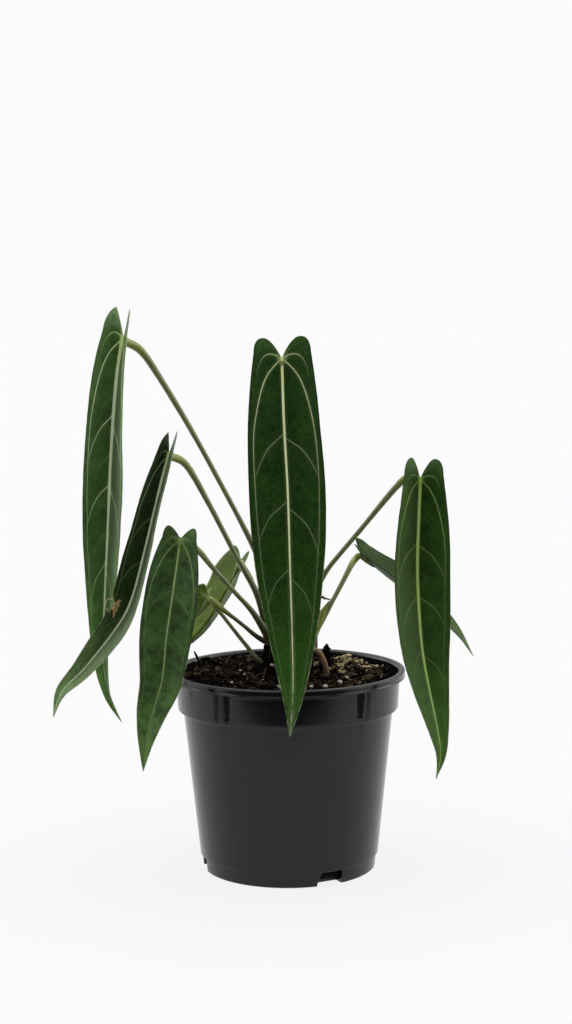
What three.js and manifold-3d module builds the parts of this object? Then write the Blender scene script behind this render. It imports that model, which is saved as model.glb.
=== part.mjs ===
// Potted anthurium besseae: a round black nursery pot, its soil, the crown, and nine hanging leaves.
// Millimetres, +Z up. The origin is the middle of the pot's flat underside, and -Y is the front.
import * as THREE from 'three';
import { mergeVertices } from 'three/addons/utils/BufferGeometryUtils.js';
import Module from 'manifold-3d';

// Pot
const POT = {
  height: 132,
  lipRadius: 77.5,
  lipHeight: 5,
  collarTopRadius: 74,
  collarBottomRadius: 73,
  stepHeight: 106.6,
  bodyTopRadius: 69.3,
  bodyFootRadius: 59.1,
  footRadius: 57.2,
  footHeight: 9.5,
  wall: 1.8,
  floor: 2.4,
  segments: 48,
};
const NOTCH = { angles: [27, 127, 205, 280], width: 18, height: 9, depth: 9, slant: 3 };

// Clear space between pieces that touch
const GAP = 0.3;

// Soil
const SOIL = {
  level: 128.9,
  fallToRight: 0.035,
  mound: 2.5,
  moundRadius: 24,
  edgeDip: 1.6,
  relief: 0.8,
  rings: 8,
  chips: 26,
  beads: 14,
  seed: 7,
};

// Crown: the short thick stem, with leaf scars, and where it stands
const CROWN = {
  x: 2,
  y: 0,
  bottom: 112,
  top: 160,
  footRadius: 12.6,
  topRadius: 10.4,
  scar: 0.3,
  scars: 5,
  rings: 12,
  sides: 16,
};

// Blades. columns: points across half a blade as shares of its half width, the first beside the midrib.
// cup: how much more the margin is lifted than the middle, in degrees. ripples: waves along a margin.
const BLADE = {
  thickness: 0.8,
  rib: 1.1,
  ribTaper: 0.75,
  cup: 8,
  ripples: 3.1,
  rows: 20,
  columns: [0.07, 0.3, 0.62, 1],
  smallRows: 14,
  smallColumns: [0.12, 0.5, 1],
  lobeRows: 4,
};

// Stalks. clasp: how far up a foot clasps the crown before it leans out; bend: its radii of bend at the top
const STALK = {
  clasp: 9,
  lean: 0.8,
  clearance: 0.4,
  lowShare: 0.6,
  bend: 2,
  steps: 16,
  smallSteps: 12,
  sides: 8,
};

// Each leaf hangs from the notch at its heart-shaped base. midrib: points from that notch to the tip.
// face: compass turn of the upper side at base, middle and tip (0 looks to the front, 90 to the right).
// half: greatest half widths, left and right as seen on the upper side. fold: how far each half is
// lifted about the midrib, in degrees, at base, middle and tip. base, widest and drip shape the outline,
// and lobeAt is how far out the tip of a basal lobe stands. foot: where the stalk leaves the crown, as a
// compass turn (0 right, 90 back) and a height; stalk: the points it passes; radii: foot to top.
const LEAVES = [
  {
    name: 'tall_left',
    midrib: [[-106, 16, 350], [-110, 8, 322], [-114, 4, 277], [-117, 0, 225], [-120, -4, 173],
      [-121, -6, 143], [-118, -8, 117], [-109, -10, 98]],
    face: [-16, -11, -6],
    half: [26, 25],
    fold: [[62, 56, 66], [53, 50, 68]],
    lobe: [18, 17],
    lobeAt: 0.4,
    base: 0.8,
    widest: 0.3,
    drip: 1,
    wave: 0.7,
    foot: [98, 148],
    stalk: [[-9, 17, 182], [-26, 19, 219], [-58, 24, 280], [-80, 27, 318], [-95, 27, 341]],
    radii: [3.4, 1.55, 1.45, 2.1],
  },
  {
    name: 'folded_left',
    midrib: [[-75, -20, 276], [-82, -24, 250], [-91, -30, 214], [-99, -36, 185], [-108, -40, 168],
      [-129, -44, 142], [-144, -46, 127], [-150, -46, 110]],
    face: [-8, -14, -30],
    half: [21, 21],
    fold: [[66, 57, 36], [66, 55, 40]],
    lobe: [13, 15],
    lobeAt: 0.38,
    base: 0.75,
    widest: 0.22,
    drip: 1,
    wave: 0.8,
    tear: { at: 0.56, length: 0.05, depth: 0.35 },
    foot: [160, 146],
    stalk: [[-19, -1, 180], [-27, -2, 196], [-35, -3, 211], [-52, -4, 245], [-65, -6, 268]],
    radii: [3.2, 1.5, 1.4, 2],
  },
  {
    name: 'front_left',
    midrib: [[-67, -48, 224], [-72, -56, 190], [-76, -60, 164], [-79, -62, 137], [-85, -62, 117],
      [-89, -62, 99], [-92, -62, 78]],
    face: [-2, -2, -12],
    half: [19, 18.5],
    fold: [[20, 19, 14], [24, 18, 32]],
    lobe: [7.5, 7.5],
    lobeAt: 0.47,
    base: 0.64,
    widest: 0.27,
    drip: 1,
    wave: 0.8,
    foot: [-152, 143],
    stalk: [[-22, -13, 171], [-33, -20, 185], [-48, -30, 204], [-57, -37, 216]],
    radii: [3, 1.4, 1.3, 1.9],
  },
  {
    name: 'middle',
    midrib: [[-2, -36, 337], [-1, -52, 298], [1, -64, 256], [2, -73, 210], [3, -81, 162], [3, -84, 131],
      [1, -86, 105]],
    face: [2, -1, 4],
    half: [26, 26],
    fold: [[28, 12, 10], [28, 14, 4]],
    lobe: [11, 12],
    lobeAt: 0.47,
    base: 0.84,
    widest: 0.31,
    drip: 1,
    wave: 0.7,
    foot: [-86, 142],
    stalk: [[3, -18, 168], [1, -21, 220], [-1, -21, 280], [-2, -19, 318]],
    radii: [3.4, 1.8, 1.7, 2.3],
  },
  {
    name: 'right',
    midrib: [[86, -25, 259], [84, -34, 227], [83, -40, 197], [85, -46, 157], [89, -48, 131], [95, -50, 101],
      [97, -50, 84], [94, -49, 68]],
    face: [4, 9, 13],
    half: [23, 24],
    fold: [[46, 25, 18], [48, 22, 12]],
    lobe: [11.5, 11.5],
    lobeAt: 0.47,
    base: 0.88,
    widest: 0.18,
    drip: 1.1,
    wave: 0.8,
    foot: [-20, 144],
    stalk: [[17, -7, 178], [25, -7, 196], [36, -7, 210], [47, -8, 223], [70, -11, 251], [79, -14, 259]],
    radii: [3.2, 1.5, 1.4, 2.1],
  },
  {
    name: 'back_right',
    midrib: [[50, 30, 204], [61, 34, 193], [74, 38, 182], [90, 42, 168], [108, 44, 153], [119, 44, 142],
      [127, 42, 131]],
    face: [80, 78, 74],
    half: [15, 16],
    fold: [[20, 18, 14], [22, 18, 14]],
    lobe: [10, 10],
    lobeAt: 0.4,
    base: 0.62,
    widest: 0.36,
    drip: 1.1,
    wave: 0.5,
    small: true,
    foot: [32, 142],
    stalk: [[22, 10, 160], [30, 14, 174], [38, 19, 188], [43, 23, 197]],
    radii: [2.6, 1.4, 1.3, 1.8],
  },
  {
    name: 'back_left',
    midrib: [[-31, 30, 200], [-37, 34, 187], [-42, 36, 177], [-55, 34, 157], [-66, 30, 146], [-78, 26, 136]],
    face: [200, 200, 200],
    half: [18.5, 18],
    fold: [[50, 50, 50], [54, 50, 50]],
    lobe: [5, 6],
    lobeAt: 0.47,
    base: 0.7,
    widest: 0.24,
    drip: 1.1,
    wave: 0.5,
    small: true,
    foot: [133, 150],
    stalk: [[-19, 12, 176], [-24, 16, 189]],
    radii: [2.4, 1.3, 1.3, 2],
  },
  {
    name: 'small_left',
    midrib: [[-51, -17, 182], [-59, -19, 170], [-70, -22, 155], [-79, -24, 143], [-87, -24, 132]],
    face: [240, 232, 220],
    half: [14, 14],
    fold: [[52, 44, 36], [52, 44, 36]],
    lobe: [6, 6],
    lobeAt: 0.47,
    base: 0.75,
    widest: 0.3,
    drip: 1,
    wave: 0.5,
    small: true,
    low: true,
    foot: [186, 148],
    stalk: [[-20, -4, 154], [-31, -8, 164]],
    radii: [1.8, 1.1, 1.1, 1.7],
  },
  {
    name: 'hidden_left',
    midrib: [[-63, 2, 182], [-69, 3, 170], [-75, 4, 155], [-79, 4, 143], [-82, 2, 135]],
    face: [-30, -24, -20],
    half: [10, 10],
    fold: [[24, 20, 16], [24, 20, 16]],
    lobe: [6, 6],
    lobeAt: 0.47,
    base: 0.75,
    widest: 0.32,
    drip: 1,
    wave: 0.5,
    small: true,
    low: true,
    foot: [-122, 133],
    stalk: [[-19, -12, 140], [-27, -9, 149], [-36, -6, 160], [-45, -2, 171], [-55, 3, 181]],
    radii: [1.8, 1.1, 1, 1.5],
  },
];

// Sheaths at the crown: centre line, widths and facing of each papery leaf base
const SHEATH = { thickness: 0.8, curl: 0.9, steps: 8, columns: [-0.5, -0.2, 0.2, 0.5] };
const SHEATHS = [
  {
    name: 'sheath_green',
    line: [[15.5, 1.5, 147], [19, 3, 157], [23, 4, 167], [28, 5, 176]],
    face: [10, 0, -10],
    widths: [4, 5.5, 5, 0.6],
  },
  {
    name: 'sheath_brown',
    line: [[8.2, 12.2, 145], [13, 13, 160], [17, 12, 172], [23, 11, 177], [29, 10, 176]],
    face: [60, 70, 80],
    widths: [4, 6, 6, 0.6],
  },
];

// Aerial root: from the crown, over and down into the soil
const ROOT = {
  line: [[11.1, -10, 141], [16, -11, 146], [21, -10, 143], [25, -10, 134], [26, -10, 124]],
  radii: [1.8, 2.1, 1.9, 1.3],
  hole: 2.8,
  steps: 9,
  sides: 8,
};

const rad = THREE.MathUtils.degToRad;
const wasm = await Module();
wasm.setup();

// A repeatable random number from 0 to 1
function randomSource(seed) {
  let state = seed;
  return () => {
    state = (state * 1664525 + 1013904223) % 4294967296;
    return state / 4294967296;
  };
}

function geometryFrom(points, faces) {
  const geometry = new THREE.BufferGeometry();
  const places = points.flatMap((p) => [p.x, p.y, p.z]);
  geometry.setAttribute('position', new THREE.Float32BufferAttribute(places, 3));
  geometry.setIndex(faces.flat());
  geometry.computeVertexNormals();
  return geometry;
}

function toSolid(geometry) {
  const bare = geometry.clone();
  bare.deleteAttribute('normal');
  bare.deleteAttribute('uv');
  const merged = mergeVertices(bare, 1e-4);
  return new wasm.Manifold(new wasm.Mesh({
    numProp: 3,
    vertProperties: new Float32Array(merged.attributes.position.array),
    triVerts: new Uint32Array(merged.index.array),
  }));
}

function fromSolid(solid) {
  const mesh = solid.getMesh();
  const geometry = new THREE.BufferGeometry();
  geometry.setAttribute('position', new THREE.BufferAttribute(mesh.vertProperties, 3));
  geometry.setIndex(new THREE.BufferAttribute(mesh.triVerts, 1));
  geometry.computeVertexNormals();
  return geometry;
}

// The largest body of a solid, without the loose scraps that a cut can leave
function largest(solid) {
  return solid.decompose().reduce((one, other) => (other.volume() > one.volume() ? other : one));
}

function finish(colour, roughness) {
  return new THREE.MeshStandardMaterial({ color: colour, roughness, metalness: 0 });
}

function named(name, geometry, material) {
  const mesh = new THREE.Mesh(geometry, material);
  mesh.name = name;
  return mesh;
}

function curveThrough(points) {
  return new THREE.CatmullRomCurve3(points.map((p) => new THREE.Vector3(...p)), false, 'catmullrom', 0.5);
}

// A value at t between evenly spaced ones, on a smooth curve
function smoothValue(values, t) {
  const last = values.length - 1;
  const at = Math.min(Math.max(t, 0), 1) * last;
  const i = Math.min(Math.floor(at), last - 1);
  const f = at - i;
  const b = values[i];
  const c = values[i + 1];
  const a = i > 0 ? values[i - 1] : 2 * b - c;
  const d = i + 2 <= last ? values[i + 2] : 2 * c - b;
  return 0.5 * (2 * b + (c - a) * f + (2 * a - 5 * b + 4 * c - d) * f * f + (3 * b - a - 3 * c + d) * f ** 3);
}

// A closed body through rings of points, with a fan at each end
function loft(rings) {
  const sides = rings[0].length;
  const points = rings.flat();
  const faces = [];
  for (let r = 0; r < rings.length - 1; r += 1) {
    for (let s = 0; s < sides; s += 1) {
      const a = r * sides + s;
      const b = r * sides + ((s + 1) % sides);
      faces.push([a, b, b + sides], [a, b + sides, a + sides]);
    }
  }
  const centre = (ring) => ring.reduce((sum, p) => sum.add(p), new THREE.Vector3()).divideScalar(sides);
  const first = points.push(centre(rings[0])) - 1;
  const last = points.push(centre(rings[rings.length - 1])) - 1;
  const top = (rings.length - 1) * sides;
  for (let s = 0; s < sides; s += 1) {
    const next = (s + 1) % sides;
    faces.push([first, next, s], [last, top + s, top + next]);
  }
  return geometryFrom(points, faces);
}

// A round stalk or root along a curve, its radius changing from end to end
function taperedTube(line, radii, steps, sides) {
  const curve = curveThrough(line);
  const frames = curve.computeFrenetFrames(steps, false);
  const rings = [];
  for (let i = 0; i <= steps; i += 1) {
    const middle = curve.getPointAt(i / steps);
    const radius = smoothValue(radii, i / steps);
    rings.push(Array.from({ length: sides }, (_, s) => {
      const turn = (2 * Math.PI * s) / sides;
      return middle.clone()
        .addScaledVector(frames.normals[i], radius * Math.cos(turn))
        .addScaledVector(frames.binormals[i], radius * Math.sin(turn));
    }));
  }
  return loft(rings);
}

// Gives a sheet of triangles its thickness: both faces have the same triangles, and the edge is closed.
// The underside of each point in ribs is thickened by its own amount more.
function thicken(points, faces, thickness, ribs) {
  const normals = points.map(() => new THREE.Vector3());
  const side = new THREE.Vector3();
  const otherSide = new THREE.Vector3();
  for (const [a, b, c] of faces) {
    side.subVectors(points[b], points[a]);
    otherSide.subVectors(points[c], points[a]);
    side.cross(otherSide);
    [a, b, c].forEach((i) => normals[i].add(side));
  }
  normals.forEach((n) => n.normalize());
  const upper = points.map((p, i) => p.clone().addScaledVector(normals[i], thickness / 2));
  const lower = points.map((p, i) => p.clone().addScaledVector(normals[i], -thickness / 2 - ribs[i]));
  const count = points.length;
  const solidFaces = faces.flatMap(([a, b, c]) => [[a, b, c], [a + count, c + count, b + count]]);
  const edges = new Set(faces.flatMap(([a, b, c]) => [`${a},${b}`, `${b},${c}`, `${c},${a}`]));
  for (const edge of edges) {
    const [a, b] = edge.split(',').map(Number);
    if (!edges.has(`${b},${a}`)) {
      solidFaces.push([b, a, a + count], [b, a + count, b + count]);
    }
  }
  return geometryFrom([...upper, ...lower], solidFaces);
}

// Half width of a blade at v, from 0 at the notch to 1 at the tip, as a share of its greatest
function outline(leaf, v) {
  if (v < leaf.widest) {
    return 1 - (1 - leaf.base) * ((leaf.widest - v) / leaf.widest) ** 2;
  }
  const beyond = (v - leaf.widest) / (1 - leaf.widest);
  return Math.max(Math.cos((Math.PI / 2) * beyond ** 1.06), 0) ** leaf.drip;
}

// The bite out of the left margin where a leaf is torn
function tornShare(leaf, side, v) {
  if (!leaf.tear || side > 0) {
    return 1;
  }
  return 1 - leaf.tear.depth * Math.exp(-(((v - leaf.tear.at) / (leaf.tear.length / 2)) ** 2));
}

// Directions at t along a line: along it, to the right on its upper side, and out of that side
function frameAt(curve, facing, t) {
  const along = curve.getTangentAt(t);
  const face = rad(smoothValue(facing, t));
  const toFace = new THREE.Vector3(Math.sin(face), -Math.cos(face), 0);
  const right = new THREE.Vector3().crossVectors(toFace, along).normalize();
  const out = new THREE.Vector3().crossVectors(along, right);
  return { along, right, out };
}

// The length of a blade, and the place of a point: on one side, at v along it and so far from its midrib
function bladeSurface(leaf) {
  const curve = curveThrough(leaf.midrib);
  const length = curve.getLength();
  const place = (side, v, across) => {
    const t = THREE.MathUtils.clamp(v, 0, 1);
    const { along, right, out } = frameAt(curve, leaf.face, t);
    const half = side < 0 ? 0 : 1;
    const share = across / leaf.half[half];
    const lift = rad(smoothValue(leaf.fold[half], t) + BLADE.cup * share);
    const phase = BLADE.ripples * v + 0.37 * side + 0.2;
    const ripple = leaf.wave * share * share * Math.sin(2 * Math.PI * phase);
    return curve.getPointAt(t)
      .addScaledVector(along, Math.min(v, 0) * length)
      .addScaledVector(right, side * across * Math.cos(lift))
      .addScaledVector(out, across * Math.sin(lift) + ripple);
  };
  return { length, place };
}

// A blade: rows of points from the notch to the tip, and rows back over each basal lobe
function bladeGeometry(leaf) {
  const columns = leaf.small ? BLADE.smallColumns : BLADE.columns;
  const rows = leaf.small ? BLADE.smallRows : BLADE.rows;
  const { length, place } = bladeSurface(leaf);
  const points = [];
  const ribs = [];
  const faces = [];
  const add = (point, rib) => {
    ribs.push(rib);
    return points.push(point) - 1;
  };
  const strip = (one, next) => {
    for (let i = 0; i < one.length - 1; i += 1) {
      faces.push([one[i], next[i], next[i + 1]], [one[i], next[i + 1], one[i + 1]]);
    }
  };
  const rib = (v, column) => (column === 0 ? BLADE.rib * (1 - BLADE.ribTaper * v) : 0);
  let above = null;
  const first = [];
  for (let r = 0; r < rows; r += 1) {
    const v = r / rows;
    const row = [];
    for (let c = -columns.length; c <= columns.length; c += 1) {
      const side = Math.sign(c);
      const half = side < 0 ? 0 : 1;
      const width = leaf.half[half] * outline(leaf, v) * tornShare(leaf, side, v);
      const across = c === 0 ? 0 : columns[Math.abs(c) - 1] * width;
      row.push(add(place(side || 1, v, across), rib(v, c)));
    }
    if (above) {
      strip(above, row);
    } else {
      first.push(...row);
    }
    above = row;
  }
  const tip = add(place(1, 1, 0), 0);
  for (let i = 0; i < above.length - 1; i += 1) {
    faces.push([above[i], tip, above[i + 1]]);
  }
  for (const side of [-1, 1]) {
    const half = side < 0 ? 0 : 1;
    const middle = columns.length;
    let below = side < 0 ? first.slice(0, middle + 1).reverse() : first.slice(middle);
    const widest = leaf.half[half];
    const tipAcross = leaf.lobeAt * widest;
    for (let r = 1; r <= BLADE.lobeRows; r += 1) {
      const h = r / BLADE.lobeRows;
      const round = Math.sqrt(1 - h * h);
      const outer = tipAcross + (leaf.base * widest - tipAcross) * round;
      const inner = tipAcross * (1 - round);
      const v = (-h * leaf.lobe[half]) / length;
      if (r === BLADE.lobeRows) {
        const peak = add(place(side, v, tipAcross), 0);
        for (let i = 0; i < below.length - 1; i += 1) {
          faces.push(side < 0 ? [below[i + 1], below[i], peak] : [below[i], below[i + 1], peak]);
        }
      } else {
        const row = [0, ...columns].map((share) => add(place(side, v, inner + (outer - inner) * share), 0));
        for (let i = 0; i < row.length - 1; i += 1) {
          if (side < 0) {
            faces.push([row[i + 1], below[i + 1], below[i]], [row[i + 1], below[i], row[i]]);
          } else {
            faces.push([row[i], below[i], below[i + 1]], [row[i], below[i + 1], row[i + 1]]);
          }
        }
        below = row;
      }
    }
  }
  return thicken(points, faces, BLADE.thickness, ribs);
}

// A leaf's stalk: its foot stands against the crown, and its top meets the underside of the midrib
function stalkGeometry(leaf) {
  const [turn, height] = leaf.foot;
  const towards = new THREE.Vector3(Math.cos(rad(turn)), Math.sin(rad(turn)), 0);
  const crownAt = (z) => crownRadius((z - CROWN.bottom) / (CROWN.top - CROWN.bottom));
  const reach = crownAt(height) + STALK.clearance + (leaf.low ? STALK.lowShare : 1) * leaf.radii[0];
  const foot = new THREE.Vector3(CROWN.x, CROWN.y, height).addScaledVector(towards, reach);
  const neck = foot.clone().addScaledVector(towards, STALK.lean);
  neck.z += STALK.clasp;
  const midrib = curveThrough(leaf.midrib);
  const { along, out } = frameAt(midrib, leaf.face, 0);
  const topRadius = leaf.radii[leaf.radii.length - 1];
  const end = midrib.getPointAt(0)
    .addScaledVector(along, topRadius + STALK.clearance)
    .addScaledVector(out, -(BLADE.thickness / 2 + BLADE.rib + GAP));
  const bend = end.clone().addScaledVector(out, -STALK.bend * topRadius);
  const route = leaf.low ? [foot, ...leaf.stalk] : [foot, neck, ...leaf.stalk];
  const line = [...route, bend, end].map((p) => (Array.isArray(p) ? p : p.toArray()));
  return taperedTube(line, leaf.radii, leaf.small ? STALK.smallSteps : STALK.steps, STALK.sides);
}

// A papery sheath: a narrow curled strip along a line
function sheathGeometry(sheath) {
  const { thickness, curl, steps, columns } = SHEATH;
  const curve = curveThrough(sheath.line);
  const points = [];
  const faces = [];
  for (let i = 0; i <= steps; i += 1) {
    const t = i / steps;
    const { right, out } = frameAt(curve, sheath.face, t);
    const width = smoothValue(sheath.widths, t);
    for (const share of columns) {
      points.push(curve.getPointAt(t)
        .addScaledVector(right, share * width)
        .addScaledVector(out, -width * curl * share * share));
    }
    if (i > 0) {
      for (let c = 0; c < columns.length - 1; c += 1) {
        const a = (i - 1) * columns.length + c;
        const b = a + columns.length;
        faces.push([a, a + 1, b + 1], [a, b + 1, b]);
      }
    }
  }
  return thicken(points, faces, thickness, points.map(() => 0));
}

function potGeometry() {
  const { height, lipRadius, lipHeight, collarTopRadius, collarBottomRadius, stepHeight } = POT;
  const { bodyTopRadius, bodyFootRadius, footRadius, footHeight, wall, floor, segments } = POT;
  const lipBottom = height - lipHeight;
  const profile = [
    [0, 0],
    [footRadius - 1, 0],
    [footRadius, 1],
    [footRadius + 0.6, footHeight],
    [bodyFootRadius, footHeight + 1],
    [bodyTopRadius, stepHeight - 1],
    [collarBottomRadius - 0.4, stepHeight],
    [collarBottomRadius, stepHeight + 0.8],
    [collarTopRadius, lipBottom],
    [lipRadius - 0.3, lipBottom],
    [lipRadius, lipBottom + 1],
    [lipRadius, height - 1.4],
    [lipRadius - 1.6, height],
    [collarTopRadius - wall + 0.6, height],
    [collarTopRadius - wall, height - 0.8],
    [collarBottomRadius - wall, stepHeight + 1.5],
    [bodyTopRadius - wall, stepHeight - 1.5],
    [bodyFootRadius - wall, footHeight],
    [footRadius - wall - 2, floor],
    [0, floor],
  ];
  const shell = new THREE.LatheGeometry(profile.map(([r, z]) => new THREE.Vector2(r, z)), segments);
  shell.rotateX(Math.PI / 2);
  let solid = toSolid(shell);
  for (const angle of NOTCH.angles) {
    const opening = new THREE.Shape([
      new THREE.Vector2(-NOTCH.width / 2, -5),
      new THREE.Vector2(NOTCH.width / 2, -5),
      new THREE.Vector2(NOTCH.width / 2, NOTCH.height - 1),
      new THREE.Vector2(NOTCH.width / 2 - 1.5, NOTCH.height),
      new THREE.Vector2(-NOTCH.width / 2 + NOTCH.slant, NOTCH.height),
      new THREE.Vector2(-NOTCH.width / 2, 1),
    ]);
    const cutter = new THREE.ExtrudeGeometry(opening, { depth: NOTCH.depth + 6, bevelEnabled: false });
    cutter.translate(0, 0, footRadius - NOTCH.depth);
    cutter.rotateX(Math.PI / 2);
    cutter.rotateZ(rad(angle));
    solid = solid.subtract(toSolid(cutter));
  }
  return fromSolid(solid);
}

function soilHeight(x, y) {
  const r = Math.hypot(x - CROWN.x, y - CROWN.y);
  const mound = SOIL.mound * Math.exp(-((r / SOIL.moundRadius) ** 2));
  const edge = THREE.MathUtils.smoothstep(Math.hypot(x, y), 54, 71) * SOIL.edgeDip;
  const crumbs = Math.sin(0.41 * x + 1.3) * Math.cos(0.37 * y) + 0.6 * Math.sin(0.83 * y - 0.29 * x);
  return SOIL.level - SOIL.fallToRight * x + mound - edge + SOIL.relief * crumbs;
}

// Inner radius of the pot at a height
function innerRadius(z) {
  const { height, stepHeight, footHeight, wall } = POT;
  if (z < stepHeight) {
    const t = (z - footHeight) / (stepHeight - footHeight);
    return THREE.MathUtils.lerp(POT.bodyFootRadius, POT.bodyTopRadius, Math.max(t, 0)) - wall;
  }
  const t = (z - stepHeight) / (height - stepHeight);
  return THREE.MathUtils.lerp(POT.collarBottomRadius, POT.collarTopRadius, t) - wall;
}

// A small angular lump of bark or a rounder bead of perlite, half sunk in the soil
function lump(size, flat, random) {
  const geometry = new THREE.IcosahedronGeometry(size, 0);
  geometry.scale(1, 0.55 + 0.3 * random(), flat);
  geometry.rotateX(0.5 * (random() - 0.5));
  geometry.rotateZ(2 * Math.PI * random());
  return geometry;
}

function soilGeometry(standing) {
  const { rings } = SOIL;
  const { segments } = POT;
  const bottom = POT.floor + GAP;
  const gap = 2 * GAP;
  const wallHeights = [
    [bottom, POT.footRadius - POT.wall - 2 - gap],
    [POT.footHeight, innerRadius(POT.footHeight) - gap],
    [POT.stepHeight - 1.5, POT.bodyTopRadius - POT.wall - gap],
    [POT.stepHeight + 1.5, POT.collarBottomRadius - POT.wall - gap],
  ];
  const points = [new THREE.Vector3(0, 0, bottom)];
  const ringAt = (radius, height) => Array.from({ length: segments }, (_, s) => {
    const turn = (2 * Math.PI * s) / segments;
    const x = radius * Math.cos(turn);
    const y = radius * Math.sin(turn);
    return points.push(new THREE.Vector3(x, y, height ?? soilHeight(x, y))) - 1;
  });
  const loops = wallHeights.map(([z, r]) => ringAt(r, z));
  const edge = innerRadius(SOIL.level - SOIL.fallToRight * POT.collarTopRadius - SOIL.edgeDip) - gap;
  for (let i = rings; i >= 1; i -= 1) {
    loops.push(ringAt((edge * i) / rings, null));
  }
  const top = points.push(new THREE.Vector3(0, 0, soilHeight(0, 0))) - 1;
  const faces = [];
  for (let s = 0; s < segments; s += 1) {
    const next = (s + 1) % segments;
    faces.push([0, loops[0][next], loops[0][s]]);
    for (let i = 0; i < loops.length - 1; i += 1) {
      const [low, high] = [loops[i], loops[i + 1]];
      faces.push([low[s], low[next], high[next]], [low[s], high[next], high[s]]);
    }
    const inner = loops[loops.length - 1];
    faces.push([inner[s], inner[next], top]);
  }
  let solid = toSolid(geometryFrom(points, faces));
  const random = randomSource(SOIL.seed);
  for (let i = 0; i < SOIL.chips + SOIL.beads; i += 1) {
    const bead = i >= SOIL.chips;
    const size = bead ? 1.8 + 0.9 * random() : 3 + 3 * random();
    const turn = 2 * Math.PI * random();
    const radius = 20 + (edge - size - 22) * Math.sqrt(random());
    const x = radius * Math.cos(turn);
    const y = radius * Math.sin(turn);
    const chip = lump(size, bead ? 0.9 : 0.45, random);
    chip.translate(x, y, soilHeight(x, y) + 0.15 * size);
    solid = solid.add(toSolid(chip));
  }
  for (const hole of standing) {
    solid = solid.subtract(hole);
  }
  return fromSolid(largest(solid));
}

// A round hole for what stands in the soil
function holeFor(x, y, radius, bottom) {
  const hole = new THREE.CylinderGeometry(radius, radius, 60, 20);
  hole.rotateX(Math.PI / 2);
  hole.translate(x, y, bottom + 30);
  return toSolid(hole);
}

// Radius of the crown at t of its height: ringed by leaf scars, and rounded at the top
function crownRadius(t) {
  const scar = CROWN.scar * Math.cos(2 * Math.PI * t * CROWN.scars);
  const narrow = t > 0.8 ? Math.sqrt(1 - ((t - 0.8) / 0.21) ** 2) : 1;
  return (THREE.MathUtils.lerp(CROWN.footRadius, CROWN.topRadius, t) + scar) * narrow;
}

function crownGeometry() {
  const { x, y, bottom, top, rings, sides } = CROWN;
  const loops = [];
  for (let r = 0; r <= rings; r += 1) {
    const t = r / rings;
    const radius = crownRadius(t);
    loops.push(Array.from({ length: sides }, (_, s) => {
      const turn = (2 * Math.PI * s) / sides;
      const z = bottom + (top - bottom) * t;
      return new THREE.Vector3(x + radius * Math.cos(turn), y + radius * Math.sin(turn), z);
    }));
  }
  return loft(loops);
}

const materials = {
  pot: finish(0x26262a, 0.45),
  soil: finish(0x17120e, 0.95),
  crown: finish(0x3b2a1c, 0.8),
  blade: finish(0x2a4a24, 0.5),
  limeBlade: finish(0x4f6f1e, 0.55),
  stalk: finish(0x66753a, 0.5),
  greenSheath: finish(0x8da04a, 0.6),
  brownSheath: finish(0x3f3a22, 0.8),
  root: finish(0x9a7448, 0.8),
};

const plant = new THREE.Group();
plant.add(named('pot', potGeometry(), materials.pot));
const rootEnd = ROOT.line[ROOT.line.length - 1];
const holes = [
  holeFor(CROWN.x, CROWN.y, CROWN.footRadius + CROWN.scar + 2 * GAP, CROWN.bottom - GAP),
  holeFor(rootEnd[0], rootEnd[1], ROOT.hole, rootEnd[2] - 2 * GAP),
];
plant.add(named('soil', soilGeometry(holes), materials.soil));
plant.add(named('crown', crownGeometry(), materials.crown));
for (const leaf of LEAVES) {
  const lime = leaf.name === 'back_left';
  plant.add(named(`blade_${leaf.name}`, bladeGeometry(leaf), lime ? materials.limeBlade : materials.blade));
  plant.add(named(`stalk_${leaf.name}`, stalkGeometry(leaf), materials.stalk));
}
for (const sheath of SHEATHS) {
  const colour = sheath.name === 'sheath_green' ? materials.greenSheath : materials.brownSheath;
  plant.add(named(sheath.name, sheathGeometry(sheath), colour));
}
const root = taperedTube(ROOT.line, ROOT.radii, ROOT.steps, ROOT.sides);
plant.add(named('aerial_root', root, materials.root));

export default plant;
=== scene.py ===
"""Potted anthurium besseae: the finish and fine surfaces of the plant, its pot and its potting mix.

Shapes are in millimetres and become metres where a mesh is made. +Z is up, -Y is the front.
Run as a script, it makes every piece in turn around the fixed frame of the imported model."""

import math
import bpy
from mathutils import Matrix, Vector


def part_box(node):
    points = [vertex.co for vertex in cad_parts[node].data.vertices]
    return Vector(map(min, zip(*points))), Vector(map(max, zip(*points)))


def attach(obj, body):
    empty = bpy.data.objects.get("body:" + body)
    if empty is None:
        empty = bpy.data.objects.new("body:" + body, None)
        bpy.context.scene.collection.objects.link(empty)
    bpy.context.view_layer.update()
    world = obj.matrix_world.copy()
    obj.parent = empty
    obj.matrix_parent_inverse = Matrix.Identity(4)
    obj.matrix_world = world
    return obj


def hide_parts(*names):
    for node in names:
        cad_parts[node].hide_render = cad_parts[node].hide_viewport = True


bl_info = {
    "name": "Potted Anthurium Besseae",
    "version": (1, 0, 0),
    "blender": (4, 5, 0),
    "location": "View3D > Sidebar > Plant",
    "description": "Makes a potted anthurium besseae: pot, potting mix, crown, stalks, blades and stage",
    "category": "Object",
}

from collections import namedtuple

import bmesh
import bpy
import numpy as np
from bpy.props import FloatProperty, FloatVectorProperty, IntProperty, PointerProperty
from bpy.types import Operator, Panel, PropertyGroup
from mathutils import Matrix, Vector

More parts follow.
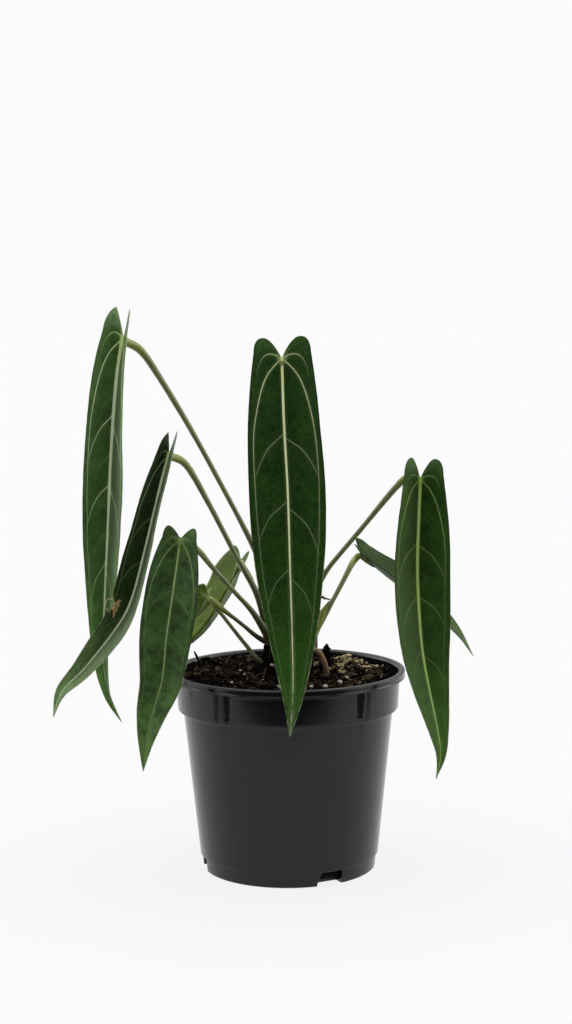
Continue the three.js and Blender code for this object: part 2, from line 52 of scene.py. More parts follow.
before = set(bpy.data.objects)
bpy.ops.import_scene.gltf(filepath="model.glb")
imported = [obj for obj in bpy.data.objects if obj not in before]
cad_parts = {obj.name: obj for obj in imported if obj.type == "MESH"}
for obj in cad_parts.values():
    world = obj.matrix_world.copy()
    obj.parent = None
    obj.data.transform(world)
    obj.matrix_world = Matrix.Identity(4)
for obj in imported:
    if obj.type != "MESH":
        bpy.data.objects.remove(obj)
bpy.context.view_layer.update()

MM = 0.001
TURN = 2 * math.pi

# Camera, fitted to the pot's lip, step and foot: place in millimetres, tilts in radians, lens in millimetres
CAMERA = {"place": (-0.2, -1258.18, 369.27), "pitch": 0.1057, "roll": 0.0091, "lens": 67.883, "sensor": 36}

# Each leaf hangs from the notch at its heart-shaped base. Places are in millimetres, and angles in degrees.
# midrib: points from that notch to the tip.
# face: turn of the upper side from the front to the right, at the base, the middle and the tip.
# half: greatest half widths, left and right as seen on the upper side.
# fold: lift of each half about the midrib, at the base, the middle and the tip.
# lobe, lobe_at, pointed: reach of the lobes past the notch, place of their peaks as a share of the half
# width, and how pointed they are.
# base, widest, drip: width at the notch, as a share of the greatest, place of the greatest width, as a share
# of the length, and how fast the blade narrows to its tip.
# wave: height of the ripples in the margin.
# tear: a bite in the left margin, with place and length as shares of the blade's length, and depth as a share
# of the half width.
# foot: where the stalk leaves the crown, as a turn from the right to the back, and a height.
# stalk, radii, low: points of the stalk above its foot, its radii from foot to blade, and True for a small
# stalk that leaves the crown without rising first.
# green: which of the blade colours it has.
# vein, pale, rib: colour of the veins, how much of it the midrib, the basal veins and the side veins have,
# and how wide the midrib is.
# cast: colour of pale light on the upper side, and how much of it is on the left and the right half.
# young: colour towards the tip.
# through: light that the veins give off, in place of what comes through a thin blade.
LEAVES = {
    "tall_left": {
        "midrib": [(-106, 16, 350), (-110, 8, 322), (-114, 4, 277), (-117, 0, 225), (-120, -4, 173),
                   (-121, -6, 143), (-118, -8, 117), (-109, -10, 98)],
        "face": (-16, -11, -6),
        "half": (26, 25),
        "fold": ((62, 56, 66), (57, 46, 65)),
        "lobe": (18, 17),
        "lobe_at": 0.4,
        "base": 0.8,
        "widest": 0.3,
        "drip": 1,
        "wave": 0.7,
        "foot": (98, 148),
        "stalk": [(-9, 17, 182), (-26, 19, 219), (-58, 24, 280), (-80, 27, 318), (-95, 27, 341)],
        "radii": (3.4, 1.55, 1.45, 2.1),
        "green": "fresh",
        "vein": (0.78, 0.88, 0.56),
        "pale": (1, 0.85, 0.8),
        "cast": ((0.2, 0.27, 0.15), 0.1, 0.6),
        "through": 0.2,
        "rib": 1.9,
        "pointed": 0.85,
    },
    "folded_left": {
        "midrib": [(-75, -20, 276), (-82, -24, 250), (-91, -30, 214), (-99, -36, 185), (-108, -40, 168),
                   (-129, -44, 142), (-144, -46, 127), (-150, -46, 110)],
        "face": (-8, -14, -16),
        "half": (21, 21),
        "fold": ((66, 55, 28), (66, 53, 28)),
        "lobe": (13, 15),
        "lobe_at": 0.38,
        "base": 0.75,
        "widest": 0.22,
        "drip": 1,
        "wave": 0.8,
        "tear": {"at": 0.56, "length": 0.05, "depth": 0.35},
        "foot": (160, 146),
        "stalk": [(-19, -1, 180), (-27, -2, 196), (-35, -3, 211), (-52, -4, 245), (-65, -6, 268)],
        "radii": (3.2, 1.5, 1.4, 2.0),
        "green": "satin",
        "vein": (0.78, 0.88, 0.58),
        "pale": (0.95, 0.3, 0.15),
        "cast": ((0.22, 0.3, 0.17), 0, 0.7),
        "young": (0.24, 0.41, 0.13),
        "through": 0.2,
        "rib": 1.9,
        "pointed": 0.9,
    },
    "front_left": {
        "midrib": [(-67, -48, 224), (-72, -56, 190), (-76, -60, 164), (-79, -62, 137), (-85, -62, 117),
                   (-89, -62, 99), (-92, -62, 78)],
        "face": (-2, -2, -12),
        "half": (19, 18.5),
        "fold": ((20, 19, 14), (24, 18, 32)),
        "lobe": (7.5, 7.5),
        "lobe_at": 0.47,
        "base": 0.64,
        "widest": 0.27,
        "drip": 1,
        "wave": 0.8,
        "foot": (-152, 143),
        "stalk": [(-22, -13, 171), (-33, -20, 185), (-48, -30, 204), (-57, -37, 216)],
        "radii": (3, 1.4, 1.3, 1.9),
        "green": "grey",
        "vein": (0.36, 0.5, 0.2),
        "pale": (0.85, 0.55, 0.16),
        "rib": 0.85,
        "pointed": 0.5,
    },
    "middle": {
        "midrib": [(-2, -36, 337), (-1, -52, 298), (1, -64, 256), (2, -73, 210), (3, -81, 162),
                   (3, -84, 131), (1, -86, 105)],
        "face": (2, -1, 4),
        "half": (26, 26),
        "fold": ((28, 12, 10), (28, 14, 4)),
        "lobe": (11, 12),
        "lobe_at": 0.47,
        "base": 0.84,
        "widest": 0.31,
        "drip": 1,
        "wave": 0.7,
        "foot": (-86, 142),
        "stalk": [(3, -18, 168), (1, -21, 220), (-1, -21, 280), (-2, -19, 318)],
        "radii": (3.4, 1.8, 1.7, 2.3),
        "green": "deep",
        "vein": (0.74, 0.82, 0.46),
        "pale": (1, 0.62, 0.22),
        "through": 0.1,
        "rib": 0.9,
        "pointed": 0.45,
    },
    "right": {
        "midrib": [(86, -25, 259), (84, -34, 227), (83, -40, 197), (85, -46, 157), (89, -48, 131),
                   (95, -50, 101), (97, -50, 84), (94, -49, 68)],
        "face": (4, 9, 13),
        "half": (23, 24),
        "fold": ((46, 25, 18), (48, 22, 12)),
        "lobe": (11.5, 11.5),
        "lobe_at": 0.47,
        "base": 0.88,
        "widest": 0.18,
        "drip": 1.1,
        "wave": 0.8,
        "foot": (-20, 144),
        "stalk": [(17, -7, 178), (25, -7, 196), (36, -7, 210), (47, -8, 223), (70, -11, 251), (79, -14, 259)],
        "radii": (3.2, 1.5, 1.4, 2.1),
        "green": "leafy",
        "vein": (0.4, 0.58, 0.17),
        "pale": (1, 0.6, 0.4),
        "cast": ((0.095, 0.145, 0.055), 0.32, 0),
        "rib": 1.6,
        "pointed": 0.5,
    },
    "back_right": {
        "midrib": [(50, 30, 204), (61, 34, 193), (74, 38, 182), (90, 42, 168), (108, 44, 153),
                   (119, 44, 142), (127, 42, 131)],
        "face": (80, 78, 74),
        "half": (12, 12.5),
        "fold": ((44, 42, 30), (46, 42, 30)),
        "lobe": (10, 10),
        "lobe_at": 0.4,
        "base": 0.62,
        "widest": 0.36,
        "drip": 1.1,
        "wave": 0.5,
        "foot": (32, 142),
        "stalk": [(22, 10, 160), (30, 14, 174), (38, 19, 188), (43, 23, 197)],
        "radii": (2.6, 1.4, 1.3, 1.8),
        "green": "grey",
        "vein": (0.28, 0.36, 0.2),
        "pale": (0.6, 0.25, 0.1),
        "cast": ((0.17, 0.24, 0.12), 0.5, 0.5),
        "rib": 0.9,
        "pointed": 0.6,
    },
    "back_left": {
        "midrib": [(-31, 30, 200), (-37, 34, 187), (-42, 36, 177), (-55, 34, 157), (-66, 30, 146),
                   (-78, 26, 136)],
        "face": (200, 200, 200),
        "half": (18.5, 18),
        "fold": ((50, 50, 50), (54, 50, 50)),
        "lobe": (5, 6),
        "lobe_at": 0.47,
        "base": 0.7,
        "widest": 0.24,
        "drip": 1.1,
        "wave": 0.5,
        "foot": (133, 150),
        "stalk": [(-19, 12, 176), (-24, 16, 189)],
        "radii": (2.4, 1.3, 1.3, 2),
        "green": "lime",
        "vein": (0.3, 0.38, 0.1),
        "pale": (0.8, 0.3, 0.15),
        "rib": 1.3,
        "pointed": 0.5,
    },
    "small_left": {
        "midrib": [(-51, -17, 182), (-59, -19, 170), (-70, -22, 155), (-79, -24, 143), (-87, -24, 132)],
        "face": (240, 232, 220),
        "half": (14, 14),
        "fold": ((52, 44, 36), (52, 44, 36)),
        "lobe": (6, 6),
        "lobe_at": 0.47,
        "base": 0.75,
        "widest": 0.3,
        "drip": 1,
        "wave": 0.5,
        "low": True,
        "foot": (186, 148),
        "stalk": [(-20, -4, 154), (-31, -8, 164)],
        "radii": (1.8, 1.1, 1.1, 1.7),
        "green": "lime",
        "vein": (0.6, 0.72, 0.34),
        "pale": (1, 0.8, 0.5),
        "rib": 1.8,
        "pointed": 0.5,
    },
    "hidden_left": {
        "midrib": [(-63, 2, 182), (-69, 3, 170), (-75, 4, 155), (-79, 4, 143), (-82, 2, 135)],
        "face": (-30, -24, -20),
        "half": (10, 10),
        "fold": ((24, 20, 16), (24, 20, 16)),
        "lobe": (6, 6),
        "lobe_at": 0.47,
        "base": 0.75,
        "widest": 0.32,
        "drip": 1,
        "wave": 0.5,
        "low": True,
        "foot": (-122, 133),
        "stalk": [(-19, -12, 140), (-27, -9, 149), (-36, -6, 160), (-45, -2, 171), (-55, 3, 181)],
        "radii": (1.8, 1.1, 1, 1.5),
        "green": "lime",
        "vein": (0.3, 0.38, 0.1),
        "pale": (0.7, 0.4, 0.2),
        "rib": 1,
        "pointed": 0.5,
    },
}

# Blade colours in a dark and a bright patch, and how rough, shiny, velvety and patchy the upper side is
GREENS = {
    "deep": {"dark": (0.006, 0.025, 0.002), "bright": (0.016, 0.054, 0.0055),
             "rough": 0.5, "shine": 0.03, "sheen": 0, "patchy": 0.2},
    "leafy": {"dark": (0.012, 0.037, 0.005), "bright": (0.03, 0.082, 0.011),
              "rough": 0.48, "shine": 0.08, "sheen": 0.02, "patchy": 0.25},
    # fresh: partly the blade's own green, and partly painted light for the strong light on the tall left blade
    "fresh": {"dark": (0.044, 0.108, 0.022), "bright": (0.115, 0.245, 0.058),
              "rough": 0.44, "shine": 0.2, "sheen": 0.1, "patchy": 0.3},
    "satin": {"dark": (0.011, 0.024, 0.006), "bright": (0.045, 0.09, 0.025),
              "rough": 0.42, "shine": 0.12, "sheen": 0.04, "patchy": 0.3},
    "grey": {"dark": (0.019, 0.052, 0.008), "bright": (0.058, 0.122, 0.029),
             "rough": 0.44, "shine": 0.12, "sheen": 0.04, "patchy": 0.75},
    # lime: partly the blade's own green, and partly painted light for light that shines through the thin blade
    # from behind
    "lime": {"dark": (0.045, 0.08, 0.005), "bright": (0.1, 0.16, 0.007),
             "rough": 0.46, "shine": 0.2, "sheen": 0.05, "patchy": 0.3},
    "under": {"dark": (0.028, 0.068, 0.011), "bright": (0.07, 0.15, 0.028)},
}
UPPER_SHEEN = (0.85, 0.95, 0.75)
UNDER_SHEEN = (0.9, 1, 0.8)
# Painted shade along each blade's margin, where its rounded edge is seen at a grazing angle
MARGIN_SHADE = (0.012, 0.014, 0.007)
DRY_RIM = (0.3, 0.33, 0.2)

# Main veins of a half blade, each a path of (along, across): along runs from 0 at the notch to 1 at the tip,
# and across is a share of the half width there. Widths and heights are in millimetres, and strength is how
# pale the vein is from its start to its end.
MAIN_VEINS = {
    "basal": {
        "path": [(0.0, 0.0), (0.012, 0.13), (0.042, 0.4), (0.086, 0.61), (0.155, 0.76), (0.218, 0.84),
                 (0.29, 0.85), (0.38, 0.83), (0.5, 0.81), (0.65, 0.79), (0.8, 0.75), (0.9, 0.66), (0.955, 0.5)],
        "width": (0.85, 0.65, 0.5, 0.35),
        "strength": (1, 0.85, 0.4, 0.22, 0.14, 0.06),
        "height": 0.18,
    },
    "shoulder": {
        "path": [(0.001, 0.0), (-0.005, 0.22), (-0.004, 0.45), (0.008, 0.64), (0.034, 0.78), (0.07, 0.83)],
        "width": (0.95, 0.65, 0.35),
        "strength": (1, 0.75, 0.3, 0.02),
        "height": 0.15,
    },
    "lobe": {
        "path": [(-0.001, 0.02), (-0.014, 0.16), (-0.028, 0.36), (-0.03, 0.56)],
        "width": (0.6, 0.45, 0.3),
        "strength": (0.4, 0.15, 0.02),
        "height": 0.1,
    },
}

# Side veins: where on the midrib each starts and how pale it is, how far that start is moved on the right half
# and at random, how far they run along the blade and how unevenly, and how far across they reach
SIDE_VEINS = {
    "starts": [(0.215, 1.0), (0.39, 0.72), (0.58, 0.45), (0.73, 0.22), (0.85, 0.12)],
    "shift": 0.008, "loose": 0.012, "run": 1.0, "uneven": (0.92, 1.12), "reach": 1.0,
    "width": (0.65, 0.55, 0.4), "strength": (1, 1, 0.7), "height": 0.14,
}
FAINT_VEINS = {
    "starts": [(0.13, 0.16), (0.305, 0.16), (0.49, 0.14), (0.655, 0.1)],
    "shift": -0.008, "loose": 0.015, "run": 0.7, "reach": 0.72,
    "width": (0.45, 0.35, 0.25), "strength": (1, 0.7, 0), "height": 0.07,
}
SIDE_RUN = 0.112
SIDE_PATH = [(0.0, 0.0), (0.13, 0.17), (0.36, 0.45), (0.66, 0.66), (1.0, 0.83)]

# A blade of full length in millimetres, and the length below which it is small and has fewer side veins.
# cup: how much further the margin lifts, in degrees. ripples: how many the margin has. swell: how far each half
# bulges. keel: height of the midrib underneath.
BLADE = {"full": 240, "small": 120, "small_veins": 4, "cup": 8, "ripples": 3.1, "swell": 0.5, "keel": 1.1}
SLOTS = {"upper": 0, "under": 1, "vein": 2, "under_vein": 3, "scrap": 4}

# Section of a raised vein, as shares of half its width and of its height
RIDGE = ((-1, -0.25), (-0.62, 0.6), (0, 1), (0.62, 0.6), (1, -0.25), (0, -1.6))

CROWN = {"x": 2, "y": 0, "bottom": 112, "top": 160, "foot": 12.6, "head": 10.4, "scar": 0.3, "scars": 5}

# Sheaths and root: points, turns of the face as for the leaves, and widths or radii along them
SHEATHS = {
    "green": {"line": [(15.5, 1.5, 147), (19, 3, 157), (23, 4, 167), (28, 5, 176)], "face": (10, 0, -10),
              "widths": (4, 5.5, 5, 0.6)},
    "brown": {"line": [(8.2, 12.2, 145), (13, 13, 160), (17, 12, 172), (23, 11, 177), (29, 10, 176)],
              "face": (60, 70, 80), "widths": (4, 6, 6, 0.6)},
}
ROOT = {"line": [(11.1, -10, 141), (16, -11, 146), (21, -10, 143), (25, -10, 134), (26, -10, 124)],
        "radii": (1.8, 2.1, 1.9, 1.3)}

# Pot, in millimetres: radii and heights of its section. The lug recesses are pressed into the collar, and the
# notches are cut in the foot. turns are in degrees from the front, to the right.
POT = {
    "lip_height": 5,
    "collar_top": 74,
    "collar_bottom": 73,
    "step": 106.6,
    "body_top": 69.3,
    "body_foot": 59.1,
    "foot": 57.2,
    "band": 9.5,
    "floor": 2.4,
    "segments": 288,
    "facet": 2.2,
    "wobble": 0.12,
    "sharp": 32,
}
NOTCH = {"turns": (27, 127, 205, 280), "width": 18, "height": 9, "depth": 9, "slant": 3}
LUGS = {"turns": (-32, 38.4, 113, 185, 257), "top": 126, "bottom": 108.5, "wide": 7.5, "narrow": 3, "depth": 0.5,
        "radius": 73.5, "edge": 0.8, "squeezed": 12}

# Marks on the pot in millimetres: earth above a height inside the rim, which fades upwards, and the dull lip
POT_MARKS = {"rim_inside": 72.7, "earth_from": 113, "earth_fades": (112, 133.5), "dull_lip": (130.3, 131.6)}
# Colours on the pot: the colour of the lug recesses is painted shade; scuff, dust and earth are marks on the
# plastic
POT_COLOURS = {"recess_shade": (0.002, 0.002, 0.0022), "scuff": (0.09, 0.09, 0.085), "dust": (0.16, 0.14, 0.11),
               "earth": (0.02, 0.013, 0.009)}

# Potting mix, in millimetres. heaps: place, width and height of each low heap.
MIX = {
    "level": 128.9,
    "fall": 0.035,
    "mound": 3.5,
    "mound_radius": 24,
    "dip": 1.6,
    "dip_from": 54,
    "dip_width": 17,
    "relief": 0.8,
    "edge": 72.5,
    "segments": 300,
    "rings": 74,
    "side": [(3.2, 52.2), (9.5, 56.4), (105, 66.8), (108.3, 71.0)],
    "heaps": [(26, 5, 4.2, 18), (-14, -10, 5, 19), (34, 30, 12, 4), (44, 22, 10, 4), (64, 6, 9, 5),
              (60, -20, 9, 4), (46, 2, 6, 3), (-58, 22, 8, 2.5), (-24, 30, 9, 2), (-38, -20, 10, 1.2)],
}

# Loose pieces on the mix. shapes: how many there are, their corners, and how flat they are. sizes: smallest and
# greatest radius. dark: the higher it is, the more of them are dark. right: the share that lies on the plant's
# right side alone. heap: place and spread of a heap of them. placed: some by place and size.
LOOSE = {
    "mix_crumbs": {"skin": "crumbs", "shapes": (12, 9, 0.7), "sizes": (0.6, 2.6), "dark": 4.5},
    "bark_chips": {"skin": "bark", "shapes": (16, 14, 0.4), "sizes": (1.4, 5.2), "dark": 2.6, "right": 0.6},
    "husk_flakes": {"skin": "husk", "shapes": (10, 10, 0.3), "sizes": (1.0, 4.0), "dark": 1.0, "right": 0.95,
                    "heap": (43, 16, 10)},
    "perlite_beads": {"skin": "perlite", "sizes": (0.6, 1.5), "dark": 1.0,
                      "placed": [(58.9, 9, 2.3), (33.8, -34, 2.1), (23.9, -45.5, 1.8), (38.2, -15, 1.7),
                                 (14.9, -52, 1.7), (-6.7, -52, 1.8)]},
}
LOOSE_EDGE = 71.5
IN_HEAP = 0.75
CLEAR_OF_CROWN = 13.5
BEAD_SHAPES = 6

# Fibres on the mix: how many are tried, and their limits in millimetres. Twigs: points, radius and steps.
FIBRES = {"count": 150, "start_edge": 62, "edge": 66, "clear": 16, "points": 4}
TWIGS = [([(-58.5, 26, 127), (-60, 25.5, 133), (-63, 25, 139.5)], 0.9, 12),
         ([(-60, 25.5, 132), (-57.5, 25, 134.5)], 0.5, 6)]

# Old leaf bases round the crown: how many, their grid, and the knob and rootlet at its left, each with its
# points, radius, tint and steps
OLD_BASES = {"count": 16, "columns": 8, "rows": 14, "thick": 0.35}
KNOB = ([(-9.5, -7.5, 141), (-12.5, -9, 144), (-15.5, -9.5, 146.5)], 2.1, 0.1, 12)
ROOTLET = ([(-13, -9.6, 143), (-15.2, -10.4, 141), (-14.6, -10.4, 138.4), (-12.4, -9.8, 138.8)], 0.45, 1.0, 16)

# Skins of the earthy, woody and dry pieces: the colours where their tint is 0 and 1 and in their grain, and
# their roughness, the scale of the grain and how lumpy they are
SKINS = {
    "potting_mix": {"rough": 0.85, "scale": 420.0, "lumps": 1.0},
    "crumbs": {"colours": ((0.0015, 0.001, 0.0007), (0.03, 0.019, 0.011), (0.003, 0.002, 0.0013)),
               "rough": 0.85, "scale": 500.0, "lumps": 0.8},
    "bark": {"colours": ((0.004, 0.0025, 0.0015), (0.11, 0.07, 0.04), (0.006, 0.004, 0.002)),
             "rough": 0.75, "scale": 330.0, "lumps": 0.9},
    "husk": {"colours": ((0.2, 0.14, 0.07), (0.75, 0.63, 0.38), (0.16, 0.1, 0.05)),
             "rough": 0.8, "scale": 400.0, "lumps": 0.7},
    "perlite": {"colours": ((0.36, 0.34, 0.29), (0.72, 0.7, 0.64), (0.3, 0.27, 0.22)),
                "rough": 0.7, "scale": 700.0, "lumps": 0.7},
    "fibre": {"colours": ((0.012, 0.007, 0.004), (0.2, 0.14, 0.07), (0.05, 0.03, 0.016)),
              "rough": 0.75, "scale": 600.0, "lumps": 0.5},
    "crown_skin": {"colours": ((0.02, 0.011, 0.006), (0.09, 0.055, 0.028), (0.045, 0.03, 0.014)),
                   "rough": 0.7, "scale": 260.0, "lumps": 0.8},
    "sheath_green": {"colours": ((0.2, 0.26, 0.05), (0.36, 0.42, 0.13), (0.13, 0.17, 0.04)),
                     "rough": 0.55, "scale": 200.0, "lumps": 0.3},
    "sheath_brown": {"colours": ((0.03, 0.03, 0.014), (0.1, 0.1, 0.045), (0.02, 0.014, 0.008)),
                     "rough": 0.55, "scale": 200.0, "lumps": 0.3},
    "root_skin": {"colours": ((0.08, 0.042, 0.022), (0.36, 0.25, 0.14), (0.14, 0.085, 0.045)),
                  "rough": 0.65, "scale": 220.0, "lumps": 0.4},
    "dry_scrap": {"colours": ((0.58, 0.38, 0.13), (0.85, 0.7, 0.38), (0.36, 0.2, 0.06)),
                  "rough": 0.6, "scale": 400.0, "lumps": 0.5},
}

# The dry scrap in a tear: its ends before and after the tear as shares of the blade's length, its grid, and the
# loose thread of it, in millimetres from where the thread leaves it
SCRAP = {"before": 0.032, "after": 0.04, "rows": 22, "columns": 14, "thick": 0.25, "thread_radius": 0.2,
         "thread": [(0, 0, 0), (-3.5, -2, 1), (-5.2, -2.5, -4), (-2, -2.5, -8)]}

# Stalks: how thick they are, and the length in millimetres of the thin end under the midrib and of the knee
STALK = {"thick": 1.25, "tail": 16, "knee_at": 24, "knee": 9, "clasp": 9, "sides": 28}
STALK_COLOURS = {"lit": (0.2, 0.23, 0.12), "fleck": (0.2, 0.22, 0.12), "low": (0.038, 0.022, 0.011),
                 "foot": (0.02, 0.009, 0.005)}

# Stage: places that the lamps shine from, the width of their light in degrees, and how bright the floor's own
# light is near the pot, in its grain there, and far from it. It is weaker near the pot as a painted shadow.
LAMPS = {"top_light": (0, 20, 70), "front_light": (0, -70, 62), "left_light": (-90, 0, 30),
         "right_light": (90, 0, 30)}
LAMP_WIDTH = 70
FLOOR_GLOW = {"near": 0.839, "grain": 0.843, "far": 0.873}
BACKDROP = 0.965


# Numbers and curves


def spline(a, b, c, d, f):
    """The point at share f of the way from b to c, on a smooth curve from a through b and c to d."""
    return 0.5 * (2 * b + (c - a) * f + (2 * a - 5 * b + 4 * c - d) * f**2 + (3 * b - a - 3 * c + d) * f**3)


def smooth_value(values, t):
    """A value at each t between evenly spaced ones, on a smooth curve."""
    values = np.asarray(values, float)
    last = len(values) - 1
    at = np.clip(t, 0, 1) * last
    i = np.minimum(np.floor(at).astype(int), last - 1)
    b, c = values[i], values[i + 1]
    a = np.where(i > 0, values[np.maximum(i - 1, 0)], 2 * b - c)
    d = np.where(i + 2 <= last, values[np.minimum(i + 2, last)], 2 * c - b)
    return spline(a, b, c, d, at - i)


def unit(vectors):
    """Each vector at length 1."""
    return vectors / np.maximum(np.linalg.norm(vectors, axis=-1, keepdims=True), 1e-12)


def value_noise(places, size, seed):
    """Smooth noise from -1 to 1 at points in millimetres, with lumps of about that size.

    Each corner of a cell gets a number that looks random, from large odd factors and its place."""
    grid = np.asarray(places, float) / size
    cell = np.floor(grid).astype(np.int64)
    part = grid - cell
    part = part * part * (3 - 2 * part)
    total = np.zeros(len(grid))
    for corner in np.ndindex(2, 2, 2):
        key = (cell + corner) @ np.array([73856093, 19349663, 83492791]) + seed * 7919
        key = (key ^ (key >> 13)) * 1274126177 & 0xFFFFFFFF
        key = (key ^ (key >> 16)) * 2246822519 & 0xFFFFFFFF
        weight = np.prod(np.where(np.array(corner) == 1, part, 1 - part), axis=1)
        total += weight * ((key ^ (key >> 13)) & 0xFFFFFF) / 0xFFFFFF
    return 2 * total - 1


def layered_noise(places, size, seed, layers):
    """Noise with finer lumps on its lumps."""
    return sum(value_noise(places, size / 2**n, seed + n) / 2**n for n in range(layers))


def scaled(colour, by):
    """A colour made darker or brighter."""
    return tuple(by * part for part in colour)


def blended(one, share, other, other_share):
    """The sum of a share of one colour and a share of another."""
    return tuple(share * a + other_share * b for a, b in zip(one, other))


class Line:
    """A smooth line through points in millimetres, read by the share of its length.

    Its bends are eased over that share of the length."""

    STEPS = 1200

    def __init__(self, points, ease=0.012):
        points = np.asarray(points, float)
        ends = np.vstack([2 * points[0] - points[1], points, 2 * points[-1] - points[-2]])
        at = np.linspace(0, len(points) - 1, self.STEPS)
        i = np.minimum(at.astype(int), len(points) - 2)
        f = (at - i)[:, None]
        a, b, c, d = ends[i], ends[i + 1], ends[i + 2], ends[i + 3]
        curve = self.evenly(spline(a, b, c, d, f))
        reach = int(3 * ease * self.STEPS)
        kernel = np.exp(-0.5 * (np.arange(-reach, reach + 1) / (ease * self.STEPS)) ** 2)
        before = 2 * curve[0] - curve[reach:0:-1]
        after = 2 * curve[-1] - curve[-2 : -reach - 2 : -1]
        padded = np.vstack([before, curve, after])
        eased = [np.convolve(padded[:, k], kernel / kernel.sum(), "valid") for k in range(3)]
        self.points = self.evenly(np.array(eased).T)
        self.length = float(np.linalg.norm(np.diff(self.points, axis=0), axis=1).sum())
        self.tangents = unit(np.gradient(self.points, axis=0))
        self.share = np.linspace(0, 1, self.STEPS)

    @classmethod
    def evenly(cls, curve):
        """The curve's points again, at even distances."""
        run = np.concatenate([[0], np.cumsum(np.linalg.norm(np.diff(curve, axis=0), axis=1))])
        at = np.linspace(0, run[-1], cls.STEPS)
        return np.array([np.interp(at, run, curve[:, k]) for k in range(3)]).T

    def read(self, table, t):
        """Rows of a table of the line's points, at each t."""
        return np.array([np.interp(t, self.share, table[:, k]) for k in range(3)]).T

    def at(self, t):
        return self.read(self.points, t)

    def along(self, t):
        return unit(self.read(self.tangents, t))

    def frame(self, facing, t):
        """Directions along the line, to the right on its upper side, and out of that side."""
        along = self.along(t)
        face = np.radians(smooth_value(facing, t))
        to_face = np.stack([np.sin(face), -np.cos(face), np.zeros_like(face)], axis=-1)
        right = unit(np.cross(to_face, along))
        return along, right, np.cross(along, right)


# Meshes


class Shape:
    """Points in millimetres, faces, the material slot of each face, and values at the points."""

    def __init__(self):
        self.points = []
        self.faces = []
        self.slots = []
        self.values = {}
        self.count = 0

    def add(self, points, faces, slot=0, **values):
        """Adds points, the faces between them, and values at them. A value that isn't given is 0."""
        points = np.asarray(points, float)
        self.points.append(points)
        self.faces += [tuple(int(i) + self.count for i in face) for face in faces]
        self.slots += [slot] * len(faces)
        for name in set(self.values) | set(values):
            before = self.values.setdefault(name, [])
            missing = self.count - sum(len(v) for v in before)
            if missing:
                before.append(np.zeros(missing))
            given = values.get(name, 0.0)
            before.append(np.broadcast_to(np.asarray(given, float), (len(points),)))
        self.count += len(points)

    def build(self, name, materials, sharp=None):
        """The object with this mesh, riding on the one body."""
        points = np.vstack(self.points) * MM
        mesh = bpy.data.meshes.new(name)
        mesh.from_pydata(points.tolist(), [], self.faces)
        mesh.polygons.foreach_set("material_index", self.slots)
        for value_name, parts in self.values.items():
            attribute = mesh.attributes.new(value_name, "FLOAT", "POINT")
            attribute.data.foreach_set("value", np.concatenate(parts).astype(np.float32))
        for material in materials:
            mesh.materials.append(material)
        finish_mesh(mesh, sharp)
        piece = bpy.data.objects.new(name, mesh)
        bpy.context.scene.collection.objects.link(piece)
        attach(piece, "root")
        return piece


def finish_mesh(mesh, sharp):
    """Smooth shading, with edges over an angle in degrees kept sharp, or flat faces if that is 0."""
    mesh.validate()
    mesh.polygons.foreach_set("use_smooth", [sharp != 0] * len(mesh.polygons))
    if sharp:
        work = bmesh.new()
        work.from_mesh(mesh)
        limit = math.radians(sharp)
        edges = [e.calc_face_angle(0.0) > limit for e in work.edges]
        work.free()
        attribute = mesh.attributes.new("sharp_edge", "BOOLEAN", "EDGE")
        attribute.data.foreach_set("value", edges)
    mesh.update()


def side_faces(rings, sides):
    """Quads between rings of points that follow each other."""
    faces = []
    for r in range(rings - 1):
        for s in range(sides):
            a, b = r * sides + s, r * sides + (s + 1) % sides
            faces.append((a, b, b + sides, a + sides))
    return faces


def ring_faces(rings, sides):
    """Quads between rings of points, and one flat face at each end."""
    first = tuple(reversed(range(sides)))
    last = tuple((rings - 1) * sides + s for s in range(sides))
    return side_faces(rings, sides) + [first, last]


def closed_rings(points, sides, under, over):
    """Points and faces of rings of points, closed by a fan to a middle point below and one above."""
    faces = side_faces(len(points) // sides, sides)
    middle, last = len(points), len(points) - sides
    for s in range(sides):
        following = (s + 1) % sides
        faces.append((middle, following, s))
        faces.append((middle + 1, last + s, last + following))
    return np.vstack([points, [under, over]]), faces


def turning_frames(tangents):
    """Two directions across each point of a line, which turn with it as little as they can."""
    across = np.zeros_like(tangents)
    start = np.cross(tangents[0], [0.3, 0.5, 0.8])
    across[0] = start / np.linalg.norm(start)
    for i in range(1, len(tangents)):
        moved = across[i - 1] - tangents[i] * np.dot(across[i - 1], tangents[i])
        across[i] = moved / np.linalg.norm(moved)
    return across, np.cross(tangents, across)


def tube_points(line, t, radii, sides, section=None):
    """Points of rings round a line, with their rings' middles. section scales the radius by turn."""
    places = line.at(t)
    across, other = turning_frames(line.along(t))
    turns = np.arange(sides) * TURN / sides
    scale = np.ones(sides) if section is None else section(turns)
    radius = radii[:, None] * scale[None, :]
    rings = places[:, None, :] + radius[..., None] * (
        np.cos(turns)[None, :, None] * across[:, None, :] + np.sin(turns)[None, :, None] * other[:, None, :]
    )
    return rings.reshape(-1, 3), np.repeat(places, sides, axis=0)


# Shader nodes


